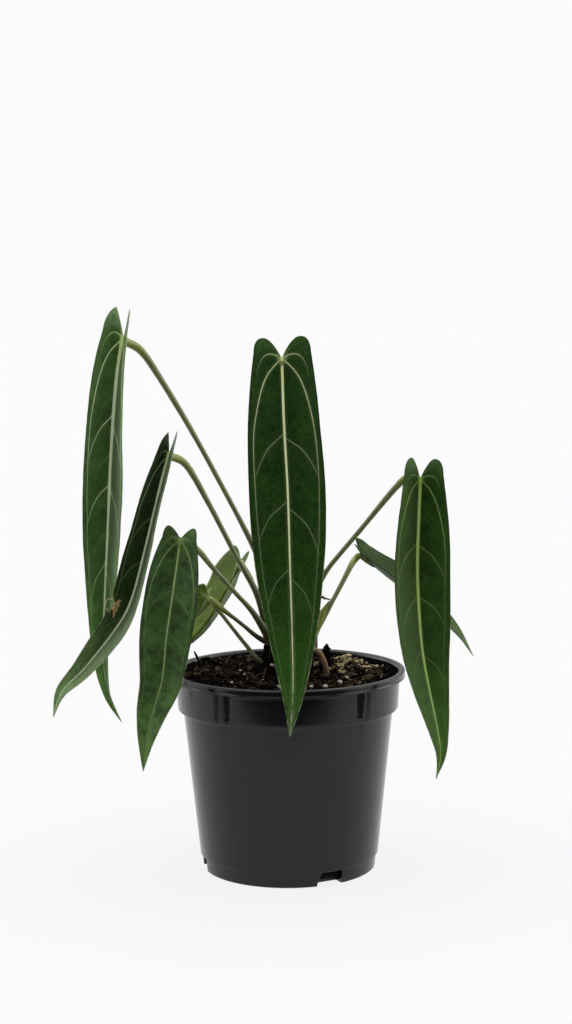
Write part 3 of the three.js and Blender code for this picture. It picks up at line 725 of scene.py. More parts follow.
class Nodes:
    """Short names for placing and joining nodes in a material's or a group's tree."""

    def __init__(self, tree):
        self.tree = tree
        self.column = 0

    def add(self, kind, inputs=None, **settings):
        """A new node with these settings, and with values or links in its inputs."""
        node = self.tree.nodes.new(kind)
        node.location = (self.column * 180 - 1400, 0)
        self.column += 1
        for name, value in settings.items():
            setattr(node, name, value)
        for name, value in (inputs or {}).items():
            self.put(node.inputs[name], value)
        return node

    def put(self, socket, value):
        """Links a socket to an output, or gives it a value."""
        if isinstance(value, bpy.types.NodeSocket):
            self.tree.links.new(value, socket)
        else:
            socket.default_value = (*value, 1) if socket.type == "RGBA" and len(value) == 3 else value

    def maths(self, operation, a, b=0.0):
        return self.add("ShaderNodeMath", {0: a, 1: b}, operation=operation).outputs[0]

    def scale(self, value, by, plus=0.0):
        """A value times by, and plus an offset."""
        product = self.maths("MULTIPLY", value, by)
        return self.maths("ADD", product, plus) if plus else product

    def band(self, value, low, high):
        """0 below low and 1 above high."""
        node = self.add("ShaderNodeMapRange", {"Value": value, "From Min": low, "From Max": high},
                        interpolation_type="SMOOTHSTEP")
        return node.outputs[0]

    def fade(self, value, low, high):
        """1 below low and 0 above high."""
        return self.maths("SUBTRACT", 1.0, self.band(value, low, high))

    def mix_values(self, share, one, other):
        return self.add("ShaderNodeMix", {0: share, 2: one, 3: other}, data_type="FLOAT").outputs[0]

    def mix(self, share, one, other):
        """One colour, and a share of another over it."""
        return self.add("ShaderNodeMix", {0: share, 6: one, 7: other}, data_type="RGBA").outputs[2]

    def paint(self, colour, mask, share, other):
        """A colour, and another over it where a mask is high, by a share of the mask."""
        return self.mix(self.scale(mask, share), colour, other)

    def attribute(self, name):
        return self.add("ShaderNodeAttribute", attribute_name=name).outputs["Fac"]

    def place(self):
        return self.add("ShaderNodeTexCoord").outputs["Object"]

    def parts(self, vector):
        return self.add("ShaderNodeSeparateXYZ", {0: vector}).outputs

    def joined(self, x, y):
        return self.add("ShaderNodeCombineXYZ", {"X": x, "Y": y}).outputs[0]

    def length(self, vector):
        return self.add("ShaderNodeVectorMath", {0: vector}, operation="LENGTH").outputs["Value"]

    def vector_maths(self, operation, a, b):
        return self.add("ShaderNodeVectorMath", {0: a, 1: b}, operation=operation).outputs[0]

    def noise(self, place, scale, detail, rough):
        inputs = {"Vector": place, "Scale": scale, "Detail": detail, "Roughness": rough}
        return self.add("ShaderNodeTexNoise", inputs).outputs["Fac"]

    def cells(self, place, scale, feature="F1"):
        inputs = {"Vector": place, "Scale": scale}
        return self.add("ShaderNodeTexVoronoi", inputs, feature=feature).outputs

    def channel(self, colour, number):
        return self.add("ShaderNodeSeparateColor", {0: colour}).outputs[number]


def node_group(name, inputs, outputs, make):
    """A shader node group, made once. inputs gives its values by name, and outputs the names of its masks."""
    if name in bpy.data.node_groups:
        return bpy.data.node_groups[name]
    group = bpy.data.node_groups.new(name, "ShaderNodeTree")
    for label, value in inputs.items():
        socket = group.interface.new_socket(label, in_out="INPUT", socket_type="NodeSocketFloat")
        socket.default_value = value
    for label in outputs:
        group.interface.new_socket(label, in_out="OUTPUT", socket_type="NodeSocketFloat")
    nodes = Nodes(group)
    made = make(nodes, nodes.add("NodeGroupInput").outputs)
    end = nodes.add("NodeGroupOutput")
    for label, value in made.items():
        nodes.put(end.inputs[label], value)
    return group


def grain_group():
    """Two sizes of unevenness as one value, for colour, roughness or height."""

    def make(nodes, given):
        place = nodes.place()
        broad = nodes.noise(place, given["Scale"], 3, 0.55)
        fine = nodes.noise(place, nodes.scale(given["Scale"], 7.3), 4, 0.65)
        both = nodes.mix_values(given["Fineness"], broad, fine)
        low = nodes.maths("SUBTRACT", 0.5, given["Spread"])
        high = nodes.maths("ADD", 0.5, given["Spread"])
        return {"Value": nodes.band(both, low, high)}

    return node_group("grain", {"Scale": 100.0, "Fineness": 0.4, "Spread": 0.2}, ["Value"], make)


def vein_net_group():
    """The net of finest veins of a blade, as a mask that is 1 on the veins, and the cells' own shade."""

    def make(nodes, given):
        place = nodes.joined(given["Across"], given["Along"])
        bend = nodes.add("ShaderNodeTexNoise", {"Vector": place, "Scale": 0.35, "Detail": 2.0})
        bend = bend.outputs["Color"]
        place = nodes.vector_maths("ADD", place, nodes.vector_maths("MULTIPLY", bend, (2.2, 2.2, 0)))
        edge = nodes.cells(place, given["Scale"], "DISTANCE_TO_EDGE")["Distance"]
        shade = nodes.channel(nodes.cells(place, given["Scale"])["Color"], 0)
        return {"Vein": nodes.fade(edge, 0.0, 0.16), "Cell": shade}

    return node_group("vein_net", {"Across": 0.0, "Along": 0.0, "Scale": 0.3}, ["Vein", "Cell"], make)


def speck_group():
    """Scattered small spots as a mask, such as dust, pores or flecks."""

    def make(nodes, given):
        cell = nodes.cells(nodes.place(), given["Scale"])
        near = nodes.fade(cell["Distance"], 0.05, given["Size"])
        chosen = nodes.maths("LESS_THAN", nodes.channel(cell["Color"], 1), given["Share"])
        return {"Mask": nodes.maths("MULTIPLY", near, chosen)}

    return node_group("specks", {"Scale": 400.0, "Size": 0.3, "Share": 0.2}, ["Mask"], make)


def new_material(name, rough, specular, sheen=0.0, sheen_tint=(1, 1, 1)):
    """A material with one Principled shader, and short names for its nodes."""
    material = bpy.data.materials.new(name)
    material.use_nodes = True
    nodes = Nodes(material.node_tree)
    shader = material.node_tree.nodes["Principled BSDF"]
    shader.inputs["Roughness"].default_value = rough
    shader.inputs["Specular IOR Level"].default_value = specular
    shader.inputs["Sheen Weight"].default_value = sheen
    shader.inputs["Sheen Roughness"].default_value = 0.4
    shader.inputs["Sheen Tint"].default_value = (*sheen_tint, 1)
    return material, nodes, shader.inputs


def placed_group(nodes, group, **inputs):
    """A node group placed in a material, with its own values."""
    node = nodes.add("ShaderNodeGroup")
    node.node_tree = group
    for name, value in inputs.items():
        nodes.put(node.inputs[name], value)
    return node.outputs


def placed_grain(nodes, scale, fineness, spread):
    return placed_group(nodes, grain_group(), Scale=scale, Fineness=fineness, Spread=spread)["Value"]


def placed_specks(nodes, scale, size, share):
    return placed_group(nodes, speck_group(), Scale=scale, Size=size, Share=share)["Mask"]


def bump(nodes, height, strength, distance):
    """A normal that follows a height. distance is in metres."""
    node = nodes.add("ShaderNodeBump", {"Height": height, "Strength": strength, "Distance": distance})
    return node.outputs["Normal"]


# Blade shapes

BladeSpot = namedtuple("BladeSpot", "across along run net grain")


def outline(leaf, v):
    """Half width of a blade at v, as a share of its greatest."""
    widest = leaf["widest"]
    above = 1 - (1 - leaf["base"]) * (np.clip(widest - v, 0, None) / widest) ** 2
    beyond = np.clip((v - widest) / (1 - widest), 0, 1)
    below = np.maximum(np.cos(math.pi / 2 * beyond**1.06), 0) ** leaf["drip"]
    return np.where(v < widest, above, below)


class Blade:
    """The middle surface of a blade, read by v along it and a signed distance s from its midrib."""

    def __init__(self, leaf):
        self.leaf = leaf
        self.line = Line(leaf["midrib"])
        self.length = self.line.length
        self.small = self.length < BLADE["small"]
        self.scale = min(self.length / BLADE["full"], 1) ** 0.5
        self.seed = len(leaf["midrib"]) * 17 + int(leaf["half"][0] * 3)
        self.veins = vein_paths(self)

    def half(self, s):
        """Greatest half width on the side of s."""
        left, right = self.leaf["half"]
        return np.where(s < 0, left, right)

    def width(self, v, side):
        """Half width at v on one side, with the bite of a tear."""
        width = self.half(side) * outline(self.leaf, v)
        tear = self.leaf.get("tear")
        if tear and side < 0:
            width = width * (1 - tear["depth"] * np.exp(-(((v - tear["at"]) / (tear["length"] / 2)) ** 2)))
        return width

    def place(self, v, s):
        """The point at v and s. Before the notch, the surface runs straight on."""
        leaf = self.leaf
        t = np.clip(v, 0, 1)
        side = np.where(s < 0, -1.0, 1.0)
        away = np.abs(s)
        along, right, out = self.line.frame(leaf["face"], t)
        share = away / self.half(side)
        fold = np.where(side < 0, smooth_value(leaf["fold"][0], t), smooth_value(leaf["fold"][1], t))
        lift = np.radians(fold + BLADE["cup"] * share)
        phase = BLADE["ripples"] * v + 0.37 * side + 0.2
        ripple = leaf["wave"] * share**2 * np.sin(TURN * phase)
        reach = np.clip(away / np.maximum(self.half(side) * outline(leaf, v), 1e-3), 0, 1)
        swell = BLADE["swell"] * np.sin(math.pi * reach) * outline(leaf, t)
        return (
            self.line.at(t)
            + along * (np.minimum(v, 0) * self.length)[:, None]
            + right * (side * away * np.cos(lift))[:, None]
            + out * (away * np.sin(lift) + ripple + swell)[:, None]
        )

    def normal(self, v, s):
        """Out of the upper side. On the midrib it is between the two halves' own."""
        step_v, step_s, on_midrib = 0.6 / self.length, 0.3, 0.05
        run = self.place(v + step_v, s) - self.place(v - step_v, s)
        total = 0
        for side in (-1.0, 1.0):
            own = np.abs(s) < 1e-6
            near = np.where(own, side, np.sign(s))
            across = self.place(v, s + near * step_s) - self.place(v, np.where(own, s + near * on_midrib, s))
            total = total + unit(np.cross(run, across * near[:, None]))
        return unit(total)

    def relief(self, v, s):
        """How far the upper side stands above the smooth surface: sunk veins, raised cells and unevenness."""
        distance, strength = nearest_vein(self, v, s)
        place = np.stack([s, v * self.length, np.zeros_like(s)], axis=-1)
        broad = 0.32 * value_noise(place, 17, self.seed) * np.clip(np.abs(s) / 6, 0, 1)
        cells = 0.09 * value_noise(place, 3.6, self.seed + 1)
        sunk = -0.26 * np.clip(strength, 0.15, 1) * np.exp(-((distance / 2.2) ** 2))
        return broad + cells + sunk


def vein_plans(blade, side, rng):
    """The veins of one half: each one's path as (v, share of the half width), its kind and how pale it is."""
    _, basal, lateral = blade.leaf["pale"]
    plans = [(vein["path"], vein, basal) for vein in MAIN_VEINS.values()]
    starts = SIDE_VEINS["starts"][: BLADE["small_veins"] if blade.small else None]
    for kind, starts in ((SIDE_VEINS, starts), (FAINT_VEINS, FAINT_VEINS["starts"])):
        for start, strength in starts:
            start = start + kind["shift"] * side + rng.uniform(-kind["loose"], kind["loose"])
            uneven = rng.uniform(*kind["uneven"]) if "uneven" in kind else 1
            run = SIDE_RUN * kind["run"] * uneven
            path = [(start + along * run, kind["reach"] * across) for along, across in SIDE_PATH]
            plans.append((path, kind, strength * lateral))
    return plans


def vein_paths(blade):
    """The veins of both halves: each a line of (v, s), with its width, height and strength along it."""
    veins = []
    drawn_width, spacing = 30, 1.1
    rng = np.random.default_rng(int(10 * blade.length))
    for side in (-1.0, 1.0):
        for path, kind, pale in vein_plans(blade, side, rng):
            line = Line([(v * blade.length, share * drawn_width, 0) for v, share in path], 0.02)
            t = np.linspace(0, 1, max(int(line.length / spacing), 8))
            spots = line.at(t)
            v = spots[:, 0] / blade.length
            share = side * np.maximum(spots[:, 1] / drawn_width, 0.004)
            veins.append({
                "v": v,
                "s": share * blade.half(side) * outline(blade.leaf, np.clip(v, 0, 1)),
                "width": smooth_value(kind["width"], t) * blade.scale,
                "height": kind["height"] * np.sqrt(1 - t) + 0.03,
                "strength": smooth_value(np.multiply(kind["strength"], pale), t),
            })
    return veins


def nearest_vein(blade, v, s):
    """Distance in millimetres of each spot from the nearest vein, and that vein's strength."""
    best = np.full(len(v), 99.0)
    strength = np.zeros(len(v))
    for vein in blade.veins:
        apart = np.hypot((v[:, None] - vein["v"]) * blade.length, s[:, None] - vein["s"])
        nearest = apart.argmin(axis=1)
        distance = apart[np.arange(len(v)), nearest]
        score = distance / (0.3 + vein["strength"][nearest])
        closer = score < best / (0.3 + strength)
        best = np.where(closer, distance, best)
        strength = np.where(closer, vein["strength"][nearest], strength)
    return best, strength


def add_ridge(shape, blade, vein, sign, settings):
    """A raised vein: a closed low ridge along the blade's upper side, or its underside if sign is -1."""
    v, s = vein["v"], vein["s"]
    run = unit(np.stack([np.gradient(v) * blade.length, np.gradient(s)], axis=-1))
    height = vein["height"] * (1 if sign > 0 else 1.5) * settings.vein_height
    rings = []
    for offset, rise in RIDGE:
        shift = offset * vein["width"] / 2
        at_v = v + run[:, 1] * shift / blade.length * sign
        at_s = s - run[:, 0] * shift * sign
        lift = settings.thickness / MM / 2 + blade.relief(at_v, at_s) * sign + rise * height
        rings.append(blade.place(at_v, at_s) + blade.normal(at_v, at_s) * (sign * lift)[:, None])
    points = np.stack(rings, axis=1).reshape(-1, 3)
    faces = ring_faces(len(v), len(RIDGE))
    if sign > 0:
        faces = [face[::-1] for face in faces]
    shape.add(points, faces, SLOTS["vein" if sign > 0 else "under_vein"],
              vein=np.repeat(vein["strength"], len(RIDGE)), along=np.repeat(v, len(RIDGE)))


def add_midrib(shape, blade, sign, settings):
    """The midrib: a rounded band over the crease on top, or a wider and deeper keel underneath."""
    leaf, scale = blade.leaf, blade.scale
    steps, before_notch, end = int(blade.length / 1.2), 1.2, 0.985
    v = np.linspace(-before_notch / blade.length, end, steps)
    t = np.clip(v, 0, 1)
    wide = smooth_value((2.5, 2.0, 1.65, 1.3, 0.9, 0.45), t) * scale * leaf["rib"] * (1 if sign > 0 else 1.25)
    if sign > 0:
        lift = smooth_value((0.5, 0.34, 0.28, 0.2, 0.12, 0.05), t) * scale
    else:
        lift = BLADE["keel"] * (1 - 0.75 * t) * scale
    sunk_edge, sunk_middle = 0.08, 0.3
    _, _, out = blade.line.frame(leaf["face"], t)
    edges = []
    for side in (-1.0, 1.0):
        s = side * wide / 2
        from_middle = sign * (settings.thickness / MM / 2 - sunk_edge)
        edges.append(blade.place(v, s) + blade.normal(v, s) * from_middle)
    rings = []
    for turn in np.linspace(0, math.pi, 9):
        share = (1 - math.cos(turn)) / 2
        rings.append(edges[0] * (1 - share) + edges[1] * share + out * (sign * math.sin(turn) * lift)[:, None])
    rings.append((edges[0] + edges[1]) / 2 - out * (sign * sunk_middle))
    points = np.stack(rings, axis=1).reshape(-1, 3)
    faces = ring_faces(steps, len(rings))
    if sign < 0:
        faces = [face[::-1] for face in faces]
    pale = leaf["pale"][0] * smooth_value((1, 1, 0.95, 0.85, 0.7, 0.5), t)
    shape.add(points, faces, SLOTS["vein" if sign > 0 else "under_vein"],
              vein=np.repeat(pale, len(rings)), along=np.repeat(v, len(rings)))


class Sheet:
    """Spots (v, s) over a blade, the faces between them seen from the upper side, and their edge distance."""

    def __init__(self):
        self.spots = []
        self.edge = []
        self.faces = []
        self.count = 0

    def row(self, v, s, edge):
        """A row of spots at one v. Returns their numbers."""
        self.spots.append(np.stack([np.full(len(s), v), s], axis=-1))
        self.edge.append(edge)
        self.count += len(s)
        return np.arange(self.count - len(s), self.count)

    def peak(self, v, s):
        """A single spot on the margin."""
        return self.row(v, np.array([s]), np.array([0.0]))[0]

    def strip(self, one, other):
        for i in range(len(one) - 1):
            self.faces.append((one[i], other[i], other[i + 1], one[i + 1]))


def blade_sheet(blade, columns, spacing):
    """The sheet of a whole blade: rows from the notch to the tip, and the two lobes before them."""
    sheet = Sheet()
    shares = np.concatenate([np.linspace(0, 1, columns)[:-1], [1 - 0.35 / columns, 1]])
    rows = []
    for v in np.linspace(0, 1, int(blade.length / spacing) + 1)[:-1]:
        left, right = blade.width(v, -1.0), blade.width(v, 1.0)
        s = np.concatenate([-shares[:0:-1] * left, shares * right])
        edge = np.concatenate([(1 - shares[:0:-1]) * left, (1 - shares) * right])
        rows.append(sheet.row(v, s, edge))
        if len(rows) > 1:
            sheet.strip(rows[-2], rows[-1])
    tip = sheet.peak(1.0, 0.0)
    for a, b in zip(rows[-1], rows[-1][1:]):
        sheet.faces.append((a, tip, b))
    middle = len(shares) - 1
    add_lobe(sheet, blade, -1, rows[0][middle::-1], shares, spacing)
    add_lobe(sheet, blade, 1, rows[0][middle:], shares, spacing)
    return sheet


def add_lobe(sheet, blade, side, below, shares, spacing):
    """One lobe beside the notch: rows that narrow from the first row of its half to a peak."""
    half = 0 if side < 0 else 1
    leaf, lobe, widest = blade.leaf, blade.leaf["lobe"][half], blade.leaf["half"][half]
    peak_at = leaf["lobe_at"] * widest
    count = max(int(lobe / spacing * 1.6), 8)
    for r in range(1, count):
        turn = math.pi / 2 * r / count
        rise = math.sin(turn)
        curve = math.cos(turn) ** (2 * leaf["pointed"])
        outer = peak_at + (leaf["base"] * widest - peak_at) * curve
        inner = peak_at * (1 - curve) ** 0.56
        s = inner + (outer - inner) * shares
        edge = np.minimum(np.minimum(outer - s, s - inner), (1 - rise) * lobe)
        row = sheet.row(-rise * lobe / blade.length, side * s, edge)
        sheet.strip(*((below, row) if side < 0 else (row, below)))
        below = row
    peak = sheet.peak(-lobe / blade.length, side * peak_at)
    for a, b in zip(below, below[1:]):
        sheet.faces.append((peak, b, a) if side < 0 else (peak, a, b))


def rim_loops(faces):
    """The open edges of a sheet, as closed loops of point numbers in the faces' own direction."""
    edges = {(face[i - 1], face[i]) for face in faces for i in range(len(face))}
    following = {a: b for a, b in edges if (b, a) not in edges}
    loops = []
    while following:
        start, at = next(iter(following.items()))
        loop = [start]
        del following[start]
        while at != start:
            loop.append(at)
            at = following.pop(at)
        loops.append(np.array(loop))
    return loops


def add_blade_body(shape, blade, columns, spacing, settings):
    """Both faces of the blade and its thin rounded margin."""
    sheet = blade_sheet(blade, columns, spacing)
    v, s = np.vstack(sheet.spots).T
    edge, faces = np.concatenate(sheet.edge), sheet.faces
    centre, normal = blade.place(v, s), blade.normal(v, s)
    distance, strength = nearest_vein(blade, v, s)
    relief = blade.relief(v, s)
    half = settings.thickness / MM / 2 * np.clip(0.45 + edge / 1.4, 0.45, 1)
    upper = centre + normal * (half + relief)[:, None]
    lower = centre - normal * (half - relief)[:, None]
    values = {"along": v, "across": s, "edge": edge, "near": distance, "near_strength": strength}
    shape.add(upper, faces, SLOTS["upper"], **values)
    shape.add(lower, [face[::-1] for face in faces], SLOTS["under"], **values)
    count, margin, far = len(v), 0.16, 9.0
    for loop in rim_loops(faces):
        run = upper[np.roll(loop, -1)] - upper[np.roll(loop, 1)]
        away = unit(np.cross(run, normal[loop]))
        middle = (upper[loop] + lower[loop]) / 2 + away * margin
        strip = []
        for i, j in zip(range(len(loop)), np.roll(range(len(loop)), -1)):
            a, b = loop[i] - shape.count, loop[j] - shape.count
            strip.append((b, a, i, j))
            strip.append((j, i, a + count, b + count))
        shape.add(middle, strip, SLOTS["upper"], along=v[loop], across=s[loop], edge=0.0, near=far)


def blade_values(nodes):
    """Values that every blade material uses: where a spot lies, the finest veins there, and unevenness."""
    across, along = nodes.attribute("across"), nodes.attribute("along")
    run = nodes.scale(along, BLADE["full"])
    net = placed_group(nodes, vein_net_group(), Across=across, Along=run, Scale=0.26)
    return BladeSpot(across, along, run, net, placed_grain(nodes, 75.0, 0.3, 0.22))


def hub_mask(nodes, spot, reach):
    """1 where the stalk meets the blade, and 0 past a reach in millimetres."""
    return nodes.fade(nodes.length(nodes.joined(spot.across, spot.run)), 0.8, reach)


def rib_mask(nodes, spot, near, far):
    """1 on the midrib, and 0 past a distance in millimetres."""
    return nodes.fade(nodes.maths("ABSOLUTE", spot.across), near, far)


def paint_young(nodes, colour, spot, leaf, tone):
    """The lighter green towards the tip and in blunt lobes, and how much of it there is."""
    young = nodes.band(spot.along, 0.5, 1.0)
    if leaf["pointed"] < 0.8:
        young = nodes.maths("MAXIMUM", young, nodes.band(spot.along, 0.03, -0.12))
    return nodes.paint(colour, young, 0.8, leaf.get("young", scaled(tone["bright"], 1.7))), young


def paint_cast(nodes, colour, spot, leaf, young):
    """The pale light on the left and the right half, which is weaker where the blade is young."""
    cast, left, right = leaf["cast"]
    share = nodes.scale(nodes.band(spot.across, -1.5, 1.5), right - left, left)
    share = nodes.maths("MULTIPLY", share, nodes.scale(spot.grain, 0.5, 0.7))
    share = nodes.maths("MULTIPLY", share, nodes.maths("SUBTRACT", 1.0, nodes.scale(young, 0.6)))
    return nodes.mix(share, colour, cast)


def paint_veins(nodes, colour, spot, leaf, tone):
    """The paler green beside the veins, along the midrib, in the finest veins and round the stalk."""
    soft = blended(tone["bright"], 0.55, leaf["vein"], 0.3)
    near = nodes.fade(nodes.attribute("near"), 0.2, 2.2)
    near = nodes.maths("MULTIPLY", near, nodes.attribute("near_strength"))
    colour = nodes.paint(colour, near, 0.3, soft)
    colour = nodes.paint(colour, rib_mask(nodes, spot, 0.6, 2.8), 0.22, soft)
    colour = nodes.paint(colour, spot.net["Vein"], 0.045, soft)
    return nodes.paint(colour, hub_mask(nodes, spot, 6.0), 0.55, scaled(leaf["vein"], 0.6))


def paint_rim(nodes, colour, spot):
    """The margin, darkened as painted shade of its rounded edge, and the dry edge on its lower half."""
    edge = nodes.attribute("edge")
    # Painted shade: the margin darkens where its rounded edge is seen at a grazing angle
    colour = nodes.paint(colour, nodes.fade(edge, 0.1, 1.6), 0.35, MARGIN_SHADE)
    dry = nodes.maths("MULTIPLY", nodes.band(spot.along, 0.3, 0.62), placed_grain(nodes, 160.0, 0.3, 0.12))
    dry = nodes.maths("MULTIPLY", nodes.fade(edge, 0.15, 0.6), dry)
    return nodes.paint(colour, dry, 0.8, DRY_RIM)


def upper_material(name, leaf):
    """The upper side of a blade: patchy velvety green, with its veins, its pale light and its rim."""
    tone = GREENS[leaf["green"]]
    rough = tone["rough"]
    material, nodes, sockets = new_material(f"{name}_upper", rough, tone["shine"], tone["sheen"], UPPER_SHEEN)
    spot = blade_values(nodes)
    shade = nodes.maths("ADD", nodes.scale(spot.grain, 0.65), nodes.scale(spot.net["Cell"], 0.35))
    colour = nodes.mix(shade, tone["dark"], tone["bright"])
    colour, young = paint_young(nodes, colour, spot, leaf, tone)
    patches = nodes.band(nodes.noise(nodes.place(), 95.0, 4, 0.68), 0.42, 0.62)
    colour = nodes.paint(colour, patches, tone["patchy"], scaled(tone["dark"], 0.45))
    if "cast" in leaf:
        colour = paint_cast(nodes, colour, spot, leaf, young)
    colour = paint_veins(nodes, colour, spot, leaf, tone)
    nodes.put(sockets["Base Color"], paint_rim(nodes, colour, spot))
    nodes.put(sockets["Roughness"], nodes.scale(spot.grain, 0.14, rough - 0.07))
    height = nodes.maths("SUBTRACT", nodes.scale(spot.grain, 0.3), spot.net["Vein"])
    nodes.put(sockets["Normal"], bump(nodes, height, 0.4, 0.0002))
    return material


def under_material(name, leaf):
    """The underside of a blade: lighter and duller, and paler at its veins, its stalk and its rim."""
    # Lime blades keep their lime green underneath: partly painted light shining through the blade
    tone = GREENS["lime" if leaf["green"] == "lime" else "under"]
    material, nodes, sockets = new_material(f"{name}_under", 0.5, 0.2, 0.04, UNDER_SHEEN)
    spot = blade_values(nodes)
    pale = blended(leaf["vein"], 0.45, tone["bright"], 0.5)
    colour = nodes.mix(spot.grain, tone["dark"], tone["bright"])
    colour = nodes.paint(colour, rib_mask(nodes, spot, 1.0, 5.0), 0.18, pale)
    colour = nodes.paint(colour, spot.net["Vein"], 0.07, pale)
    colour = nodes.paint(colour, hub_mask(nodes, spot, 8.0), 0.6, scaled(leaf["vein"], 0.8))
    colour = nodes.paint(colour, nodes.fade(nodes.attribute("edge"), 0.2, 0.9), 0.45, leaf["vein"])
    nodes.put(sockets["Base Color"], colour)
    nodes.put(sockets["Normal"], bump(nodes, spot.net["Vein"], 0.4, 0.00025))
    return material


def vein_material(name, leaf, strength):
    """The raised veins of one side, in the blade's green where they are faint, with a painted glow."""
    tone = GREENS[leaf["green"]]
    tint = bpy.context.scene.plant_blades.vein_tint
    pale = tuple(v * t for v, t in zip(leaf["vein"], tint))
    young = (0.85 * pale[0], 0.92 * pale[1], 0.55 * pale[2])
    material, nodes, sockets = new_material(name, 0.45, 0.35)
    grain = placed_grain(nodes, 200.0, 0.4, 0.3)
    green = nodes.mix(grain, tone["dark"], tone["bright"])
    high = nodes.mix(nodes.band(nodes.attribute("along"), 0.0, 0.12), young, pale)
    high = nodes.paint(high, grain, 0.25, scaled(pale, 0.6))
    colour = nodes.paint(green, nodes.attribute("vein"), strength, high)
    nodes.put(sockets["Base Color"], colour)
    # Painted glow: the veins give off light in their own colour, by each leaf's share in through
    nodes.put(sockets["Emission Color"], colour)
    sockets["Emission Strength"].default_value = leaf.get("through", 0) * strength
    nodes.put(sockets["Normal"], bump(nodes, grain, 0.2, 0.0001))
    return material


def leaf_materials(name, leaf):
    """The materials of one blade, in the order of its slots."""
    made = [upper_material(name, leaf), under_material(name, leaf), vein_material(f"{name}_vein", leaf, 1.0),
            vein_material(f"{name}_under_vein", leaf, 0.8)]
    if "tear" in leaf:
        made.append(skin_material("dry_scrap"))
    return made


def add_scrap(shape, blade):
    """A dry curled scrap in the torn place of the margin, and a loose thread of it."""
    at, rows, columns = blade.leaf["tear"]["at"], SCRAP["rows"], SCRAP["columns"]
    v, out = np.meshgrid(np.linspace(at - SCRAP["before"], at + SCRAP["after"], rows),
                         np.linspace(0, 1, columns), indexing="ij")
    v, out = v.ravel(), out.ravel()
    wave = value_noise(np.stack([v * 260, out * 2, 0 * out], axis=-1), 1.6, 77)
    full = blade.leaf["half"][0] * outline(blade.leaf, v)
    bow = np.sin(math.pi * np.linspace(0.12, 0.95, rows)).repeat(columns)
    s = -full * (0.5 + (0.4 + 0.13 * wave) * out * bow)
    curl = 0.5 + 1.6 * out**2 * (1 + 0.5 * wave) + 0.35 * np.sin(9 * out + 300 * v)
    normal = blade.normal(v, s)
    sheet = blade.place(v, s) + normal * curl[:, None]
    grid = (rows, columns, 3)
    add_sheet(shape, sheet.reshape(grid), normal.reshape(grid), SCRAP["thick"], SLOTS["scrap"],
              tint=0.5 + 0.5 * wave)
    start = blade.place(np.array([at - 0.02]), np.array([-0.85 * full[0]]))
    add_thread(shape, start + SCRAP["thread"], SCRAP["thread_radius"], 0.8, 18, SLOTS["scrap"])


def stalk_line(leaf):
    """The stalk's route: from the crown to the blade, and on under the midrib, where it thins to a keel."""
    turn, height = leaf["foot"]
    low = leaf.get("low", False)
    towards = np.array([math.cos(math.radians(turn)), math.sin(math.radians(turn)), 0])
    share = (height - CROWN["bottom"]) / (CROWN["top"] - CROWN["bottom"])
    reach = crown_radius(share) + 0.4 + (0.6 if low else 1) * leaf["radii"][0]
    foot = np.array([CROWN["x"], CROWN["y"], height]) + towards * reach
    route = [foot] if low else [foot, foot + towards * 0.8 + (0, 0, 9)]
    route += [np.array(point, float) for point in leaf["stalk"]]
    midrib = Line(leaf["midrib"])
    start = np.zeros(1)
    along, _, out = (d[0] for d in midrib.frame(leaf["face"], start))
    top = leaf["radii"][-1]
    end = midrib.at(start)[0] + along * 0.45 * top - out * (0.4 + BLADE["keel"] + 0.3)
    route += [end - out * 2 * top, end + out * 0.5]
    for run, depth in ((7, 0.9), (14, 0.55)):
        t = np.array([run / midrib.length])
        _, _, out = (d[0] for d in midrib.frame(leaf["face"], t))
        route.append(midrib.at(t)[0] - out * depth * top * 0.6)
    return route


def crown_radius(share):
    """Radius of the crown at a share of its height: ringed by leaf scars, and rounded at the top."""
    scar = CROWN["scar"] * np.cos(TURN * share * CROWN["scars"])
    narrow = np.sqrt(np.clip(1 - (np.clip(share - 0.8, 0, None) / 0.21) ** 2, 0.0, 1))
    return (CROWN["foot"] + (CROWN["head"] - CROWN["foot"]) * share + scar) * narrow


# Settings


class PlantPotSettings(PropertyGroup):
    """Sizes and colour of the pot"""

    height: FloatProperty(name="Height", description="From the foot to the top of the lip", unit="LENGTH",
                          default=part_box("pot")[1].z, min=0.05, max=0.5)
    lip_radius: FloatProperty(name="Lip radius", description="Radius of the lip's outside", unit="LENGTH",
                              default=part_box("pot")[1].x, min=0.03, max=0.3)
    wall: FloatProperty(name="Wall", description="Thickness of the wall", unit="LENGTH", default=0.001,
                        min=0.0005)
    colour: FloatVectorProperty(name="Plastic", description="Colour of the plastic", subtype="COLOR",
                                default=(0.0042, 0.0042, 0.0047), min=0, max=1)


class PlantMixSettings(PropertyGroup):
    """Colour of the potting mix and how much lies on it"""

    crumbs: IntProperty(name="Crumbs", description="How many dark crumbs lie on the mix", default=4600, min=0)
    chips: IntProperty(name="Bark chips", description="How many bark chips lie on the mix", default=560,
                       min=0)
    husk: IntProperty(name="Husk flakes", description="How many husk flakes lie on the mix", default=300,
                      min=0)
    beads: IntProperty(name="Perlite beads", description="How many perlite beads lie on the mix", default=60,
                       min=0)
    seed: IntProperty(name="Seed", description="Chooses where the pieces lie", default=11)
    colour: FloatVectorProperty(name="Mix", description="Colour of the moist mix", subtype="COLOR",
                                default=(0.0022, 0.0015, 0.0011), min=0, max=1)


class PlantBladeSettings(PropertyGroup):
    """Sizes of every blade and a tint for its veins"""

    thickness: FloatProperty(name="Thickness", description="Thickness of a blade", unit="LENGTH", default=0.0006,
                             min=0.0002)
    vein_height: FloatProperty(name="Vein height", description="How far the veins stand out", default=1.0,
                               min=0, max=3)
    vein_tint: FloatVectorProperty(name="Vein tint", description="Tints the midribs and main veins",
                                   subtype="COLOR", default=(1, 1, 1), min=0, max=1)


